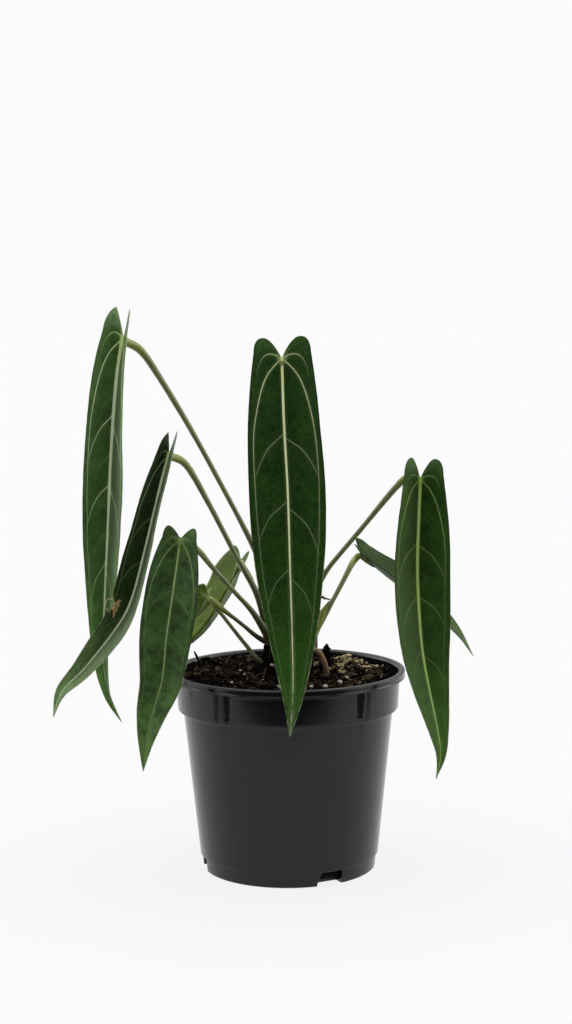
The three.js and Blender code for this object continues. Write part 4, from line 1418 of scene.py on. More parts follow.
class PlantStalkSettings(PropertyGroup):
    """Colours of every stalk"""

    colour: FloatVectorProperty(name="Stalks", description="Colour of the stalks", subtype="COLOR",
                                default=(0.085, 0.101, 0.034), min=0, max=1)
    knee_colour: FloatVectorProperty(name="Knee", description="Colour of the thicker bend below each blade",
                                     subtype="COLOR", default=(0.17, 0.2, 0.03), min=0, max=1)


class PlantStageSettings(PropertyGroup):
    """Floor, lamps and room"""

    floor_size: FloatProperty(name="Floor", description="Width of the floor", unit="LENGTH", default=60.0)
    floor_front: FloatProperty(name="Front edge", description="How far the floor reaches to the front",
                               unit="LENGTH", default=0.33)
    floor_colour: FloatVectorProperty(name="Floor colour", description="Colour of the floor", subtype="COLOR",
                                      default=(0.054, 0.054, 0.054), min=0, max=1)
    top_light: FloatProperty(name="Top light", description="Strength of the light above", default=1.7)
    front_light: FloatProperty(name="Front light", description="Strength of the light in front", default=0.8)
    side_light: FloatProperty(name="Side lights", description="Strength of each light beside", default=2.3)
    room: FloatProperty(name="Room", description="Strength of the white room behind the plant", default=1.0)


# Operators


class PLANT_OT_pot(Operator):
    """Make the nursery pot, with its lip, collar, step, foot band, lug recesses and drain notches"""

    bl_idname = "plant.pot"
    bl_label = "Make Pot"

    def execute(self, context):
        make_pot(context.scene.plant_pot)
        return {"FINISHED"}


class PLANT_OT_mix(Operator):
    """Make the potting mix, with the crumbs, bark chips, husk flakes, perlite beads and fibres on it"""

    bl_idname = "plant.mix"
    bl_label = "Make Potting Mix"

    def execute(self, context):
        make_mix(context.scene.plant_mix)
        return {"FINISHED"}


class PLANT_OT_crown(Operator):
    """Make the crown with its sheaths, old leaf bases and aerial root"""

    bl_idname = "plant.crown"
    bl_label = "Make Crown"

    def execute(self, context):
        make_crown()
        make_sheaths()
        make_root()
        return {"FINISHED"}


class PLANT_OT_stalks(Operator):
    """Make the stalk of every leaf"""

    bl_idname = "plant.stalks"
    bl_label = "Make Stalks"

    def execute(self, context):
        material = stalk_material(context.scene.plant_stalks)
        for name, leaf in LEAVES.items():
            make_stalk(name, leaf, material)
        return {"FINISHED"}


class PLANT_OT_blades(Operator):
    """Make the blade of every leaf, with its veins and margin"""

    bl_idname = "plant.blades"
    bl_label = "Make Blades"

    def execute(self, context):
        for name, leaf in LEAVES.items():
            make_blade(name, leaf, context.scene.plant_blades)
        return {"FINISHED"}


class PLANT_OT_stage(Operator):
    """Make the floor, the studio light and the camera"""

    bl_idname = "plant.stage"
    bl_label = "Make Stage"

    def execute(self, context):
        make_stage(context.scene.plant_stage)
        return {"FINISHED"}


class PLANT_PT_panel(Panel):
    """The settings and buttons of every piece, in the sidebar"""

    bl_label = "Potted Anthurium"
    bl_idname = "PLANT_PT_panel"
    bl_space_type = "VIEW_3D"
    bl_region_type = "UI"
    bl_category = "Plant"

    def draw(self, context):
        for group, operators in PANEL_ROWS:
            box = self.layout.box()
            settings = getattr(context.scene, group)
            for name in settings.__class__.__annotations__:
                box.prop(settings, name)
            for operator in operators:
                box.operator(operator)


PANEL_ROWS = (
    ("plant_pot", ("plant.pot",)),
    ("plant_mix", ("plant.mix",)),
    ("plant_stalks", ("plant.crown", "plant.stalks")),
    ("plant_blades", ("plant.blades",)),
    ("plant_stage", ("plant.stage",)),
)
SETTINGS = {
    "plant_pot": PlantPotSettings,
    "plant_mix": PlantMixSettings,
    "plant_blades": PlantBladeSettings,
    "plant_stalks": PlantStalkSettings,
    "plant_stage": PlantStageSettings,
}
OPERATORS = (PLANT_OT_pot, PLANT_OT_mix, PLANT_OT_crown, PLANT_OT_stalks, PLANT_OT_blades, PLANT_OT_stage)


# Pot


def rounded_profile(points, radii, steps=4):
    """A profile whose corners are rounded: each corner becomes a short arc of points, steps apart."""
    points = [np.array(p, float) for p in points]
    profile = [points[0]]
    for before, corner, after, radius in zip(points, points[1:], points[2:], radii):
        back, on = unit(before - corner), unit(after - corner)
        half = math.acos(float(np.clip(back @ on, -1, 1))) / 2
        longest = 0.48 * min(np.linalg.norm(before - corner), np.linalg.norm(after - corner))
        length = min(radius / math.tan(half), longest)
        start, end = corner + back * length, corner + on * length
        for t in np.arange(steps + 1) / steps:
            profile.append((1 - t) ** 2 * start + 2 * t * (1 - t) * corner + t**2 * end)
    profile.append(points[-1])
    return np.array(profile)


def pot_profile(settings):
    """Radius and height round the pot's section, from the middle of its underside to that of its floor."""
    height, lip, wall = settings.height / MM, settings.lip_radius / MM, settings.wall / MM
    foot, band, step = POT["foot"], POT["band"], POT["step"]
    body_foot, body_top = POT["body_foot"], POT["body_top"]
    collar_bottom, collar_top = POT["collar_bottom"], POT["collar_top"]
    lip_bottom = height - POT["lip_height"]
    corners = [
        (0, 0, 0), (foot - 0.2, 0, 0.8), (foot + 0.6, band - 0.3, 0.15),
        (body_foot - 0.05, band + 0.1, 0.15), (body_top, step - 0.6, 0.5),
        (collar_bottom - 0.2, step, 1.1), (collar_top, lip_bottom + 0.3, 0.5),
        (lip + 0.1, lip_bottom, 0.5), (lip + 0.1, lip_bottom + 0.9, 0.3), (lip - 0.25, lip_bottom + 1.4, 0.3),
        (lip, height, 1.3), (collar_top - wall + 1.6, height - 0.1, 0.5),
        (collar_top - wall + 0.5, height - 0.8, 0.5), (collar_top - wall, height - 1.8, 0.8),
        (collar_bottom - wall, step + 1.5, 1.0), (body_top - wall, step - 1.5, 1.0),
        (body_foot - wall, band, 1.0), (foot - wall - 2, POT["floor"], 1.0), (0, POT["floor"], 0),
    ]
    return rounded_profile([corner[:2] for corner in corners], [corner[2] for corner in corners[1:-1]])


def subdivide_profile(profile, longest):
    """The profile with more points, so that none of its straight parts is much longer than that."""
    points = [profile[0]]
    for a, b in zip(profile, profile[1:]):
        count = max(int(np.linalg.norm(b - a) / longest), 1)
        points += [a + (b - a) * (i + 1) / count for i in range(count)]
    return np.array(points)


def press_lugs(radius, turn, z):
    """Presses the lug recesses into the collar. The mesh's columns are squeezed together in each, so that
    they follow its slanted sides. Returns the new radius and turn, and 1 where a point is pressed in."""
    lug = np.zeros(len(turn))
    angle = np.degrees(turn)
    down = np.clip((LUGS["top"] - z) / (LUGS["top"] - LUGS["bottom"]), 0, 1)
    within = (z < LUGS["top"] + LUGS["edge"]) & (z > LUGS["bottom"])
    for at in LUGS["turns"]:
        apart = (angle - at + 180) % 360 - 180
        side = np.abs(np.radians(apart)) * LUGS["radius"]
        lug = np.maximum(lug, np.clip((LUGS["wide"] / 2 - side) / LUGS["edge"], 0, 1) * within)
        near = np.clip(1 - np.abs(apart) / LUGS["squeezed"], 0, 1)
        turn = turn + np.radians(apart) * ((LUGS["narrow"] / LUGS["wide"] - 1) * down * near)
    return radius - LUGS["depth"] * lug, turn, lug


def make_pot(settings):
    """The nursery pot: its section turned round, with lugs pressed in and notches cut out."""
    segments = POT["segments"]
    profile = subdivide_profile(pot_profile(settings), POT["facet"])
    section = profile[1:-1]
    turn = np.tile(np.arange(segments) * TURN / segments, len(section))
    z = np.repeat(section[:, 1], segments)
    radius, turn, lug = press_lugs(np.repeat(section[:, 0], segments), turn, z)
    upwards = np.clip(z / (settings.height / MM), 0, 1)
    radius = radius + POT["wobble"] * np.sin(2 * turn + 0.7) * upwards
    rings = np.stack([radius * np.sin(turn), -radius * np.cos(turn), z], axis=-1)
    points, faces = closed_rings(rings, segments, (0, 0, profile[0][1]), (0, 0, profile[-1][1]))
    lug = np.append(lug, [0, 0])
    shape = Shape()
    shape.add(points, faces, 0, lug=lug)
    shape.slots = [int(min(lug[i] for i in face) > 0.05) for face in faces]
    # The lug recesses get a copy of the plastic that barely reflects: painted shade
    pot = shape.build("nursery_pot", [pot_material(settings, "black_plastic", 0.34),
                                      pot_material(settings, "shaded_recess_plastic", 0.05)])
    for at in NOTCH["turns"]:
        cut_notch(pot, at)
    finish_mesh(pot.data, POT["sharp"])
    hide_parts("pot")


def notch_cutter(turn):
    """The solid that one drain notch takes out of the foot, from inside the pot to outside it."""
    half, height, slant = NOTCH["width"] / 2, NOTCH["height"], NOTCH["slant"]
    below, beyond = 5, 6
    around = [(-half, -below), (half, -below), (half, height - 1.2), (half - 0.35, height - 0.35),
              (half - 1.2, height), (-half + slant + 0.6, height), (-half + slant - 0.4, height - 0.5),
              (-half, 1)]
    near, far = POT["foot"] - NOTCH["depth"], POT["foot"] + beyond
    points = np.array([(x, -y, z) for y in (near, far) for x, z in around]) * MM
    mesh = bpy.data.meshes.new("notch_cutter")
    mesh.from_pydata(points.tolist(), [], ring_faces(2, len(around)))
    mesh.transform(Matrix.Rotation(math.radians(turn), 4, "Z"))
    work = bmesh.new()
    work.from_mesh(mesh)
    bmesh.ops.recalc_face_normals(work, faces=work.faces)
    work.to_mesh(mesh)
    work.free()
    cutter = bpy.data.objects.new("notch_cutter", mesh)
    bpy.context.scene.collection.objects.link(cutter)
    return cutter


def cut_notch(pot, turn):
    """Cuts a drain notch out of the pot's foot, and applies the cut."""
    cutter = notch_cutter(turn)
    cut = pot.modifiers.new("notch", "BOOLEAN")
    cut.operation = "DIFFERENCE"
    cut.solver = "MANIFOLD"
    cut.object = cutter
    bpy.context.view_layer.update()
    done = bpy.data.meshes.new_from_object(pot.evaluated_get(bpy.context.evaluated_depsgraph_get()))
    pot.modifiers.remove(cut)
    pot.data = done
    bpy.data.objects.remove(cutter)


def earth_mask(nodes, place, z):
    """Earth that sticks inside the rim, and gets thinner towards the lip."""
    flat = nodes.vector_maths("MULTIPLY", place, (1, 1, 0))
    inside = nodes.maths("LESS_THAN", nodes.length(flat), POT_MARKS["rim_inside"] * MM)
    inside = nodes.maths("MULTIPLY", inside, nodes.maths("GREATER_THAN", z, POT_MARKS["earth_from"] * MM))
    low, high = POT_MARKS["earth_fades"]
    thinner = nodes.scale(nodes.band(z, low * MM, high * MM), 0.3)
    earth = nodes.band(nodes.maths("SUBTRACT", nodes.noise(place, 90.0, 5, 0.7), thinner), 0.33, 0.46)
    return nodes.scale(nodes.maths("MULTIPLY", earth, inside), 0.7)


def pot_material(settings, name, specular):
    """Satin black plastic, with faint scuffs and dust, earth inside the rim, painted shade in the lug recesses,
    and a duller lip.
    """
    material, nodes, sockets = new_material(name, 0.3, specular)
    grain = placed_grain(nodes, 45.0, 0.35, 0.25)
    place = nodes.place()
    z = nodes.parts(place)["Z"]
    scuff = nodes.noise(nodes.vector_maths("MULTIPLY", place, (1, 1, 14)), 34.0, 5, 0.7)
    scuff = nodes.band(scuff, 0.66, 0.74)
    earth = earth_mask(nodes, place, z)
    colour = nodes.mix(grain, scaled(settings.colour, 0.85), scaled(settings.colour, 1.15))
    # Painted shade darkens the lug recesses
    colour = nodes.paint(colour, nodes.attribute("lug"), 0.75, POT_COLOURS["recess_shade"])
    colour = nodes.paint(colour, scuff, 0.04, POT_COLOURS["scuff"])
    colour = nodes.paint(colour, placed_specks(nodes, 420.0, 0.22, 0.05), 0.15, POT_COLOURS["dust"])
    nodes.put(sockets["Base Color"], nodes.mix(earth, colour, POT_COLOURS["earth"]))
    rough = nodes.scale(grain, 0.06, 0.13)
    rough = nodes.maths("ADD", rough, nodes.scale(nodes.maths("MAXIMUM", scuff, earth), 0.2))
    low, high = POT_MARKS["dull_lip"]
    rough = nodes.maths("ADD", rough, nodes.scale(nodes.band(z, low * MM, high * MM), 0.3))
    nodes.put(sockets["Roughness"], rough)
    nodes.put(sockets["Normal"], bump(nodes, placed_grain(nodes, 520.0, 0.6, 0.35), 0.07, 0.0002))
    return material


# Potting mix


def mix_height(x, y):
    """Height of the mix: it falls to the right and at the edge, and rises at the crown and in heaps."""
    mound = np.hypot(x - CROWN["x"], y - CROWN["y"]) / MIX["mound_radius"]
    ramp = np.clip((np.hypot(x, y) - MIX["dip_from"]) / MIX["dip_width"], 0, 1)
    edge = ramp * ramp * (3 - 2 * ramp) * MIX["dip"]
    waves = np.sin(0.41 * x + 1.3) * np.cos(0.37 * y) + 0.6 * np.sin(0.83 * y - 0.29 * x)
    heaps = sum(tall * np.exp(-(((x - hx) ** 2 + (y - hy) ** 2) / wide**2))
                for hx, hy, wide, tall in MIX["heaps"])
    return (MIX["level"] - MIX["fall"] * x + MIX["mound"] * np.exp(-(mound**2)) - edge + MIX["relief"] * waves
            + heaps)


def skin_material(name, colours=None):
    """The skin of an earthy, woody or dry piece. colours take the place of those that it has in SKINS."""
    skin = SKINS[name]
    low, high, grainy = colours or skin["colours"]
    material, nodes, sockets = new_material(name, skin["rough"], 0.04)
    grain = placed_grain(nodes, skin["scale"], 0.5, 0.18)
    colour = nodes.mix(nodes.attribute("tint"), low, high)
    nodes.put(sockets["Base Color"], nodes.paint(colour, grain, 0.7, grainy))
    fine = placed_grain(nodes, 2.5 * skin["scale"], 0.6, 0.3)
    nodes.put(sockets["Normal"], bump(nodes, fine, skin["lumps"], 0.0004))
    return material


def make_mix(settings):
    """The mass of the mix, and what lies on it."""
    make_mix_body(settings)
    rng = np.random.default_rng(settings.seed)
    counts = {"mix_crumbs": settings.crumbs, "bark_chips": settings.chips, "husk_flakes": settings.husk,
              "perlite_beads": settings.beads}
    for name, count in counts.items():
        scatter(name, count, LOOSE[name], rng)
    make_fibres(rng)


def make_mix_body(settings):
    """The mass of the mix: its hidden sides are plain, and its surface is rough."""
    segments = MIX["segments"]
    turns = np.arange(segments) * TURN / segments
    side = [(r * math.cos(turn), r * math.sin(turn), z) for z, r in MIX["side"] for turn in turns]
    radii = MIX["edge"] * np.linspace(1, 0.02, MIX["rings"])
    x = (radii[:, None] * np.cos(turns)[None, :]).ravel()
    y = (radii[:, None] * np.sin(turns)[None, :]).ravel()
    flat = np.stack([x, y, np.zeros_like(x)], axis=-1)
    rough = layered_noise(flat, 4.2, 5, 4) + 0.45 * value_noise(flat, 1.3, 9)
    surface = np.stack([x, y, mix_height(x, y) - 0.6 + rough], axis=-1)
    under, over = (0, 0, MIX["side"][0][0]), (0, 0, mix_height(0.0, 0.0))
    points, faces = closed_rings(np.vstack([side, surface]), segments, under, over)
    shape = Shape()
    shape.add(points, faces, 0, tint=0.0)
    base = tuple(settings.colour)
    colours = (base, scaled(base, 3.0), scaled(base, 2.2))
    body = shape.build("potting_mix", [skin_material("potting_mix", colours)])
    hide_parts("soil")


def crumb_kinds(rng, count, corners, flat):
    """Small angular lumps: the hull of a few random points in a flattened ball of radius 1."""
    kinds = []
    for _ in range(count):
        work = bmesh.new()
        for _ in range(corners):
            place = unit(rng.normal(size=3)) * (0.7 + 0.3 * rng.random())
            work.verts.new(place * (1, 0.55 + 0.3 * rng.random(), flat))
        hull = bmesh.ops.convex_hull(work, input=work.verts)
        loose = [v for v in hull["geom_interior"] if isinstance(v, bmesh.types.BMVert)]
        bmesh.ops.delete(work, geom=loose, context="VERTS")
        work.verts.ensure_lookup_table()
        work.verts.index_update()
        faces = [tuple(v.index for v in f.verts) for f in work.faces]
        kinds.append((np.array([v.co for v in work.verts]), faces))
        work.free()
    return kinds


def bead_kinds(rng, count):
    """Rounder beads with a pitted skin."""
    kinds = []
    for i in range(count):
        work = bmesh.new()
        bmesh.ops.create_icosphere(work, subdivisions=3, radius=1)
        points = np.array([v.co for v in work.verts])
        size = 1 + 0.22 * value_noise(points + 10 * i, 0.8, 31 + i) + 0.1 * value_noise(points, 0.3, 57 + i)
        points = points * size[:, None] * (1, 0.7 + 0.3 * rng.random(), 0.75)
        kinds.append((points, [tuple(v.index for v in f.verts) for f in work.faces]))
        work.free()
    return kinds


def loose_spots(rng, count, loose):
    """Places and sizes of loose pieces: some in a heap, more of some on the right, none at the crown."""
    spots = list(loose.get("placed", ()))
    heap, right, (smallest, greatest) = loose.get("heap"), loose.get("right", 0.0), loose["sizes"]
    while len(spots) < count:
        size = smallest + (greatest - smallest) * rng.random() ** 2.2
        if heap and rng.random() < IN_HEAP:
            x, y = heap[0] + heap[2] * rng.normal(), heap[1] + heap[2] * rng.normal()
        else:
            r, turn = LOOSE_EDGE * math.sqrt(rng.random()), TURN * rng.random()
            x, y = r * math.cos(turn), r * math.sin(turn)
        on_right = x > -4 + 14 * rng.random()
        from_crown = math.hypot(x - CROWN["x"], y - CROWN["y"])
        clear = from_crown > CLEAR_OF_CROWN and math.hypot(x, y) < LOOSE_EDGE - size
        if clear and (on_right or rng.random() > right):
            spots.append((x, y, size))
    return np.array(spots)


def scatter(name, count, loose, rng):
    """Lays small pieces over the mix, each tilted its own way and partly sunk in."""
    beads = "shapes" not in loose
    kinds = bead_kinds(rng, BEAD_SHAPES) if beads else crumb_kinds(rng, *loose["shapes"])
    shape = Shape()
    spots = loose_spots(rng, count, loose)
    ground = mix_height(spots[:, 0], spots[:, 1])
    for (x, y, size), level in zip(spots, ground):
        points, faces = kinds[rng.integers(len(kinds))]
        tilt = Matrix.Rotation(TURN * rng.random(), 3, "Z") @ Matrix.Rotation(rng.normal() * 0.5, 3, "X")
        tilt = tilt @ Matrix.Rotation(rng.normal() * 0.4, 3, "Y")
        z = level - 0.35 + 0.55 * size * rng.random()
        shape.add(points * size @ np.array(tilt).T + (x, y, z), faces, 0, tint=rng.random() ** loose["dark"])
    piece = shape.build(name, [skin_material(loose["skin"])], sharp=None if beads else 0)


def fibre_route(rng):
    """A short bent line that lies on the mix. It is empty at the crown, and cut short at the pot."""
    r, turn = FIBRES["start_edge"] * math.sqrt(rng.random()), TURN * rng.random()
    x, y = r * math.cos(turn), r * math.sin(turn)
    if math.hypot(x - CROWN["x"], y - CROWN["y"]) < FIBRES["clear"]:
        return []
    start, length, bend = TURN * rng.random(), 4 + 9 * rng.random(), rng.normal() * 0.5
    route = []
    last = FIBRES["points"] - 1
    for k in range(FIBRES["points"]):
        turn = start + bend * k / last
        if k > 0:
            x, y = x + length / last * math.cos(turn), y + length / last * math.sin(turn)
        if math.hypot(x, y) > FIBRES["edge"]:
            break
        route.append((x, y, mix_height(x, y) + 0.5 + 0.9 * rng.random()))
    return route


def make_fibres(rng):
    """Thin coir fibres and splinters that lie on the mix, and a dark twig at its left edge."""
    shape = Shape()
    for _ in range(FIBRES["count"]):
        route = fibre_route(rng)
        if len(route) > 2:
            add_thread(shape, route, 0.12 + 0.22 * rng.random(), 0.3 + 0.7 * rng.random(), 9)
    for route, radius, steps in TWIGS:
        add_thread(shape, route, radius, 0.0, steps)
    piece = shape.build("mix_fibres", [skin_material("fibre")])


def add_thread(shape, route, radius, tint, steps, slot=0):
    """A thin tube along a route, narrower at both ends."""
    t = np.linspace(0, 1, steps)
    points, _ = tube_points(Line(route, 0.02), t, radius * (1 - 0.6 * np.abs(2 * t - 1) ** 3), 6)
    shape.add(points, ring_faces(steps, 6), slot, tint=tint)


# Crown, sheaths and root


def make_crown():
    """The crown: a short stem with leaf scars and a fibrous skin."""
    sides, rings = 96, 90
    share = np.linspace(0, 1, rings)
    turns = np.arange(sides) * TURN / sides
    radius = np.repeat(crown_radius(share), sides)
    z = np.repeat(CROWN["bottom"] + (CROWN["top"] - CROWN["bottom"]) * share, sides)
    x, y = radius * np.tile(np.cos(turns), rings), radius * np.tile(np.sin(turns), rings)
    flat = np.stack([x, y, z], axis=-1)
    fibre = value_noise(flat * (1, 1, 0.16), 1.5, 3) * 0.35 + value_noise(flat * (1, 1, 0.3), 4.5, 4) * 0.5
    scale = 1 + fibre / np.maximum(radius, 2)
    points = flat * np.stack([scale, scale, np.ones_like(scale)], axis=-1) + (CROWN["x"], CROWN["y"], 0)
    shape = Shape()
    shape.add(points, ring_faces(rings, sides), 0, tint=np.clip(0.5 + fibre, 0, 1))
    material = skin_material("crown_skin")
    crown = shape.build("crown_stem", [material])
    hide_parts("crown")
    make_old_bases(material)


def make_old_bases(material):
    """Dry torn leaf bases wrapped round the crown, and the small knob with a pale rootlet at its left."""
    rng = np.random.default_rng(23)
    shape = Shape()
    across, up = np.meshgrid(np.linspace(-1, 1, OLD_BASES["columns"]), np.linspace(0, 1, OLD_BASES["rows"]))
    for i in range(OLD_BASES["count"]):
        middle = TURN * i / OLD_BASES["count"] + 0.2 * rng.random()
        span, low, tall = 0.5 + 0.4 * rng.random(), 127 + 8 * rng.random(), 12 + 14 * rng.random()
        lean = 1.2 * rng.random()
        turn = middle + span * across * (1 - 0.55 * up**1.5)
        places = np.stack([across.ravel() * 9, np.zeros(across.size), np.full(across.size, i)], axis=-1)
        z = low + tall * up * (1 + 0.1 * value_noise(places, 1, i)).reshape(up.shape)
        share = (z - CROWN["bottom"]) / (CROWN["top"] - CROWN["bottom"])
        r = crown_radius(np.clip(share, 0, 0.8)) + 0.25 + lean * up**2
        sheet = np.stack([CROWN["x"] + r * np.cos(turn), CROWN["y"] + r * np.sin(turn), z], axis=-1)
        out = np.stack([np.cos(turn), np.sin(turn), 0 * turn], axis=-1)
        add_sheet(shape, sheet, out, OLD_BASES["thick"], tint=0.2 + 0.5 * rng.random())
    add_thread(shape, *KNOB)
    add_thread(shape, *ROOTLET)
    bases = shape.build("old_leaf_bases", [material])


def add_sheet(shape, sheet, out, thick, slot=0, **values):
    """A thin closed skin from a grid of points and the direction out of its upper side."""
    rows, columns = sheet.shape[:2]
    upper = (sheet + out * thick / 2).reshape(-1, 3)
    lower = (sheet - out * thick / 2).reshape(-1, 3)
    faces = []
    for r in range(rows - 1):
        for c in range(columns - 1):
            a = r * columns + c
            faces.append((a, a + 1, a + columns + 1, a + columns))
    count = rows * columns
    full = faces + [tuple(i + count for i in face[::-1]) for face in faces]
    for loop in rim_loops(faces):
        for i in range(len(loop)):
            a, b = loop[i], loop[(i + 1) % len(loop)]
            full.append((b, a, a + count, b + count))
    doubled = {name: np.tile(np.ravel(v), 2) if np.ndim(v) else v for name, v in values.items()}
    shape.add(np.vstack([upper, lower]), full, slot, **doubled)


def make_sheaths():
    """The fresh green sheath and the dry brown one: narrow curled strips that stand at the crown."""
    for name, sheath in SHEATHS.items():
        line = Line(sheath["line"], 0.02)
        t = np.linspace(0, 1, 60)
        _, right, out = line.frame(sheath["face"], t)
        width = smooth_value(sheath["widths"], t)[:, None]
        share = np.linspace(-0.5, 0.5, 17)
        ribs = 0.08 * np.cos(share * TURN * 6)
        sheet = (
            line.at(t)[:, None, :]
            + right[:, None, :] * (width * share)[..., None]
            + out[:, None, :] * (-width * share**2 + ribs)[..., None]
        )
        outs = np.repeat(out[:, None, :], len(share), axis=1)
        shape = Shape()
        add_sheet(shape, sheet, outs, 0.5, tint=np.repeat(t[:, None], len(share), axis=1))
        piece = shape.build(f"{name}_sheath", [skin_material(f"sheath_{name}")])
        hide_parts(f"sheath_{name}")


def make_root():
    """The aerial root: tan, a little lumpy, and paler at its start."""
    rings, sides = 90, 28
    t = np.linspace(0, 1, rings)
    flat, centre = tube_points(Line(ROOT["line"], 0.02), t, smooth_value(ROOT["radii"], t), sides)
    lump = 1 + 0.07 * value_noise(flat, 2.4, 8) + 0.05 * value_noise(flat, 0.8, 9)
    shape = Shape()
    shape.add(centre + (flat - centre) * lump[:, None], ring_faces(rings, sides), 0,
              tint=np.repeat(0.75 - 0.6 * t, sides))
    root = shape.build("tan_root", [skin_material("root_skin")])
    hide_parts("aerial_root")


# Stalks


def stalk_material(settings):
    """Olive stalk: pale where the light falls on it, flecked, lighter at the knee and brown at the foot."""
    material, nodes, sockets = new_material("stalk_skin", 0.42, 0.45)
    foot = nodes.attribute("foot")
    grain = placed_grain(nodes, 130.0, 0.35, 0.28)
    colour = nodes.mix(grain, scaled(settings.colour, 0.9), scaled(settings.colour, 1.7))
    colour = nodes.paint(colour, nodes.attribute("lit"), 0.5, STALK_COLOURS["lit"])
    colour = nodes.paint(colour, placed_specks(nodes, 900.0, 0.35, 0.3), 0.3, STALK_COLOURS["fleck"])
    colour = nodes.mix(nodes.attribute("knee"), colour, tuple(settings.knee_colour))
    colour = nodes.paint(colour, nodes.fade(nodes.attribute("stem"), 0.05, 0.42), 0.8, STALK_COLOURS["low"])
    nodes.put(sockets["Base Color"], nodes.mix(foot, colour, STALK_COLOURS["foot"]))
    rough = nodes.maths("ADD", nodes.scale(grain, 0.12), nodes.scale(foot, 0.2))
    nodes.put(sockets["Roughness"], nodes.maths("ADD", rough, 0.36))
    nodes.put(sockets["Normal"], bump(nodes, grain, 0.25, 0.00015))
    return material


def make_stalk(name, leaf, material):
    """A stalk with a clasping foot, a thicker knee below the blade, and a thin end under the midrib."""
    line = Line(stalk_line(leaf), 0.01)
    steps, sides, tail = max(int(line.length), 60), STALK["sides"], STALK["tail"]
    t = np.linspace(0, 1, steps)
    run = (1 - t) * line.length
    radii = STALK["thick"] * smooth_value(leaf["radii"], line.length * t / (line.length - tail))
    radii = radii * (0.12 + 0.88 * np.sin(math.pi / 2 * np.clip(run / tail, 0, 1)) ** 0.8)
    radii = radii * (1 + 0.1 * np.exp(-(((run - STALK["knee_at"]) / STALK["knee"]) ** 2)))
    flat, centre = tube_points(line, t, radii, sides, lambda turns: 1 - 0.05 * np.cos(turns) ** 8)
    seed = len(name)
    wrinkle = 0.03 * value_noise(flat * (1, 1, 0.25), 1.1, seed) + 0.04 * value_noise(flat, 9, seed + 3)
    points = centre + (flat - centre) * (1 + wrinkle)[:, None]
    values = {
        "stem": np.repeat(t, sides),
        "knee": np.repeat(np.clip(np.exp(-(((run - 20) / 13) ** 2)) * 1.15, 0, 1), sides),
        "foot": np.repeat(np.exp(-((t * line.length / STALK["clasp"]) ** 2)), sides),
        "lit": np.clip((points - centre)[:, 2] / np.maximum(np.repeat(radii, sides), 0.1), 0, 1),
    }
    shape = Shape()
    shape.add(points, ring_faces(steps, sides), 0, **values)
    stalk = shape.build(f"petiole_{name}", [material])
    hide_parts(f"stalk_{name}")


# Blades


def make_blade(name, leaf, settings):
    """A blade: its two faces and rim, the raised veins and midrib on both sides, and any scrap."""
    blade = Blade(leaf)
    columns, spacing = (16, 1.0) if blade.small else (22, 1.25)
    shape = Shape()
    add_blade_body(shape, blade, columns, spacing, settings)
    for vein in blade.veins:
        if vein["strength"].max() > 0.05:
            add_ridge(shape, blade, vein, 1.0, settings)
            add_ridge(shape, blade, vein, -1.0, settings)
    add_midrib(shape, blade, 1.0, settings)
    add_midrib(shape, blade, -1.0, settings)
    if "tear" in leaf:
        add_scrap(shape, blade)
    piece = shape.build(f"leaf_{name}", leaf_materials(name, leaf))
    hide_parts(f"blade_{name}")


# Stage


def make_floor(settings):
    """The pale floor. It ends in front of the pot, so that the plastic mirrors the dark beyond it."""
    half, count = settings.floor_size / 2, 9
    x, y = np.meshgrid(np.linspace(-half, half, count), np.linspace(-settings.floor_front, half, count))
    points = np.stack([x.ravel(), y.ravel(), np.zeros(count * count)], axis=-1)
    faces = [(r * count + c, r * count + c + 1, (r + 1) * count + c + 1, (r + 1) * count + c)
             for r in range(count - 1) for c in range(count - 1)]
    mesh = bpy.data.meshes.new("floor")
    mesh.from_pydata(points.tolist(), [], faces)
    mesh.materials.append(floor_material(settings))
    floor = bpy.data.objects.new("floor", mesh)
    bpy.context.scene.collection.objects.link(floor)


def floor_material(settings):
    """Matt white with its own light, which is a little weaker near the pot as a painted shadow."""
    material, nodes, sockets = new_material("floor_white", 1.0, 0.0)
    grain = placed_grain(nodes, 3.0, 0.5, 0.3)
    nodes.put(sockets["Base Color"], nodes.mix(grain, tuple(settings.floor_colour),
                                               scaled(settings.floor_colour, 1.01)))
    # Painted shadow: the floor's own light is weaker near the pot
    near, grainy, far = ((light, light, light) for light in FLOOR_GLOW.values())
    away = nodes.band(nodes.length(nodes.place()), 0.05, 0.32)
    nodes.put(sockets["Emission Color"], nodes.mix(away, nodes.mix(grain, near, grainy), far))
    sockets["Emission Strength"].default_value = 1
    return material


def make_room(settings):
    """The room's light: white behind and above, dark in front. The camera sees an even backdrop instead."""
    world = bpy.data.worlds.new("studio")
    bpy.context.scene.world = world
    world.use_nodes = True
    nodes = Nodes(world.node_tree)
    parts = nodes.parts(nodes.add("ShaderNodeTexCoord").outputs["Generated"])
    back = nodes.band(parts["Y"], -0.3, 0.35)
    above = nodes.scale(nodes.band(parts["Z"], 0.5, 1.0), 0.5)
    light = nodes.maths("MAXIMUM", nodes.maths("MAXIMUM", back, above), 0.03)
    seen = nodes.add("ShaderNodeLightPath").outputs["Is Camera Ray"]
    background = world.node_tree.nodes["Background"].inputs
    nodes.put(background["Strength"], nodes.mix_values(seen, nodes.scale(light, settings.room), BACKDROP))
    background["Color"].default_value = (1, 1, 1, 1)


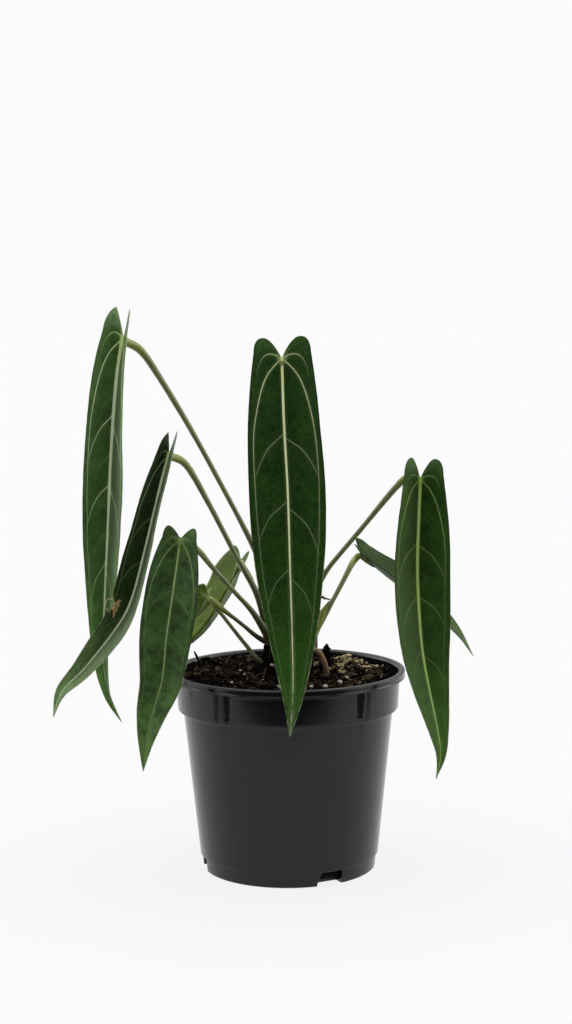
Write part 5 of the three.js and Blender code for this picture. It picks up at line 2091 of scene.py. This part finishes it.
def make_camera():
    """The camera, at the place and tilt that were fitted to the pot."""
    data = bpy.data.cameras.new("camera")
    data.sensor_fit = "VERTICAL"
    data.sensor_height = CAMERA["sensor"]
    data.lens = CAMERA["lens"]
    data.clip_end = 50
    camera = bpy.data.objects.new("camera", data)
    scene = bpy.context.scene
    scene.collection.objects.link(camera)
    tilt = Matrix.Rotation(math.pi / 2 - CAMERA["pitch"], 4, "X") @ Matrix.Rotation(-CAMERA["roll"], 4, "Z")
    camera.matrix_world = Matrix.Translation(Vector(CAMERA["place"]) * MM) @ tilt
    scene.camera = camera


def make_stage(settings):
    """The floor, the lamps, the room and the camera, with plain colours in the picture."""
    make_floor(settings)
    add_sun("top_light", settings.top_light)
    add_sun("front_light", settings.front_light)
    add_sun("left_light", settings.side_light)
    add_sun("right_light", settings.side_light)
    make_room(settings)
    make_camera()
    bpy.context.scene.view_settings.view_transform = "Standard"


def add_sun(name, strength):
    """A wide soft light from far away, in the direction of its place."""
    data = bpy.data.lights.new(name, "SUN")
    data.energy = strength
    data.angle = math.radians(LAMP_WIDTH)
    light = bpy.data.objects.new(name, data)
    bpy.context.scene.collection.objects.link(light)
    light.rotation_euler = Vector(LAMPS[name]).to_track_quat("Z", "Y").to_euler()


# Registration


def register():
    """Registers the settings, the operators and the panel."""
    for settings in SETTINGS.values():
        bpy.utils.register_class(settings)
    for name, settings in SETTINGS.items():
        setattr(bpy.types.Scene, name, PointerProperty(type=settings))
    for operator in OPERATORS:
        bpy.utils.register_class(operator)
    bpy.utils.register_class(PLANT_PT_panel)


def unregister():
    """Takes away what register added."""
    bpy.utils.unregister_class(PLANT_PT_panel)
    for operator in reversed(OPERATORS):
        bpy.utils.unregister_class(operator)
    for name, settings in SETTINGS.items():
        delattr(bpy.types.Scene, name)
        bpy.utils.unregister_class(settings)


def main():
    register()
    bpy.ops.plant.stage()
    bpy.ops.plant.pot()
    bpy.ops.plant.mix()
    bpy.ops.plant.crown()
    bpy.ops.plant.stalks()
    bpy.ops.plant.blades()


if __name__ == "__main__":
    main()
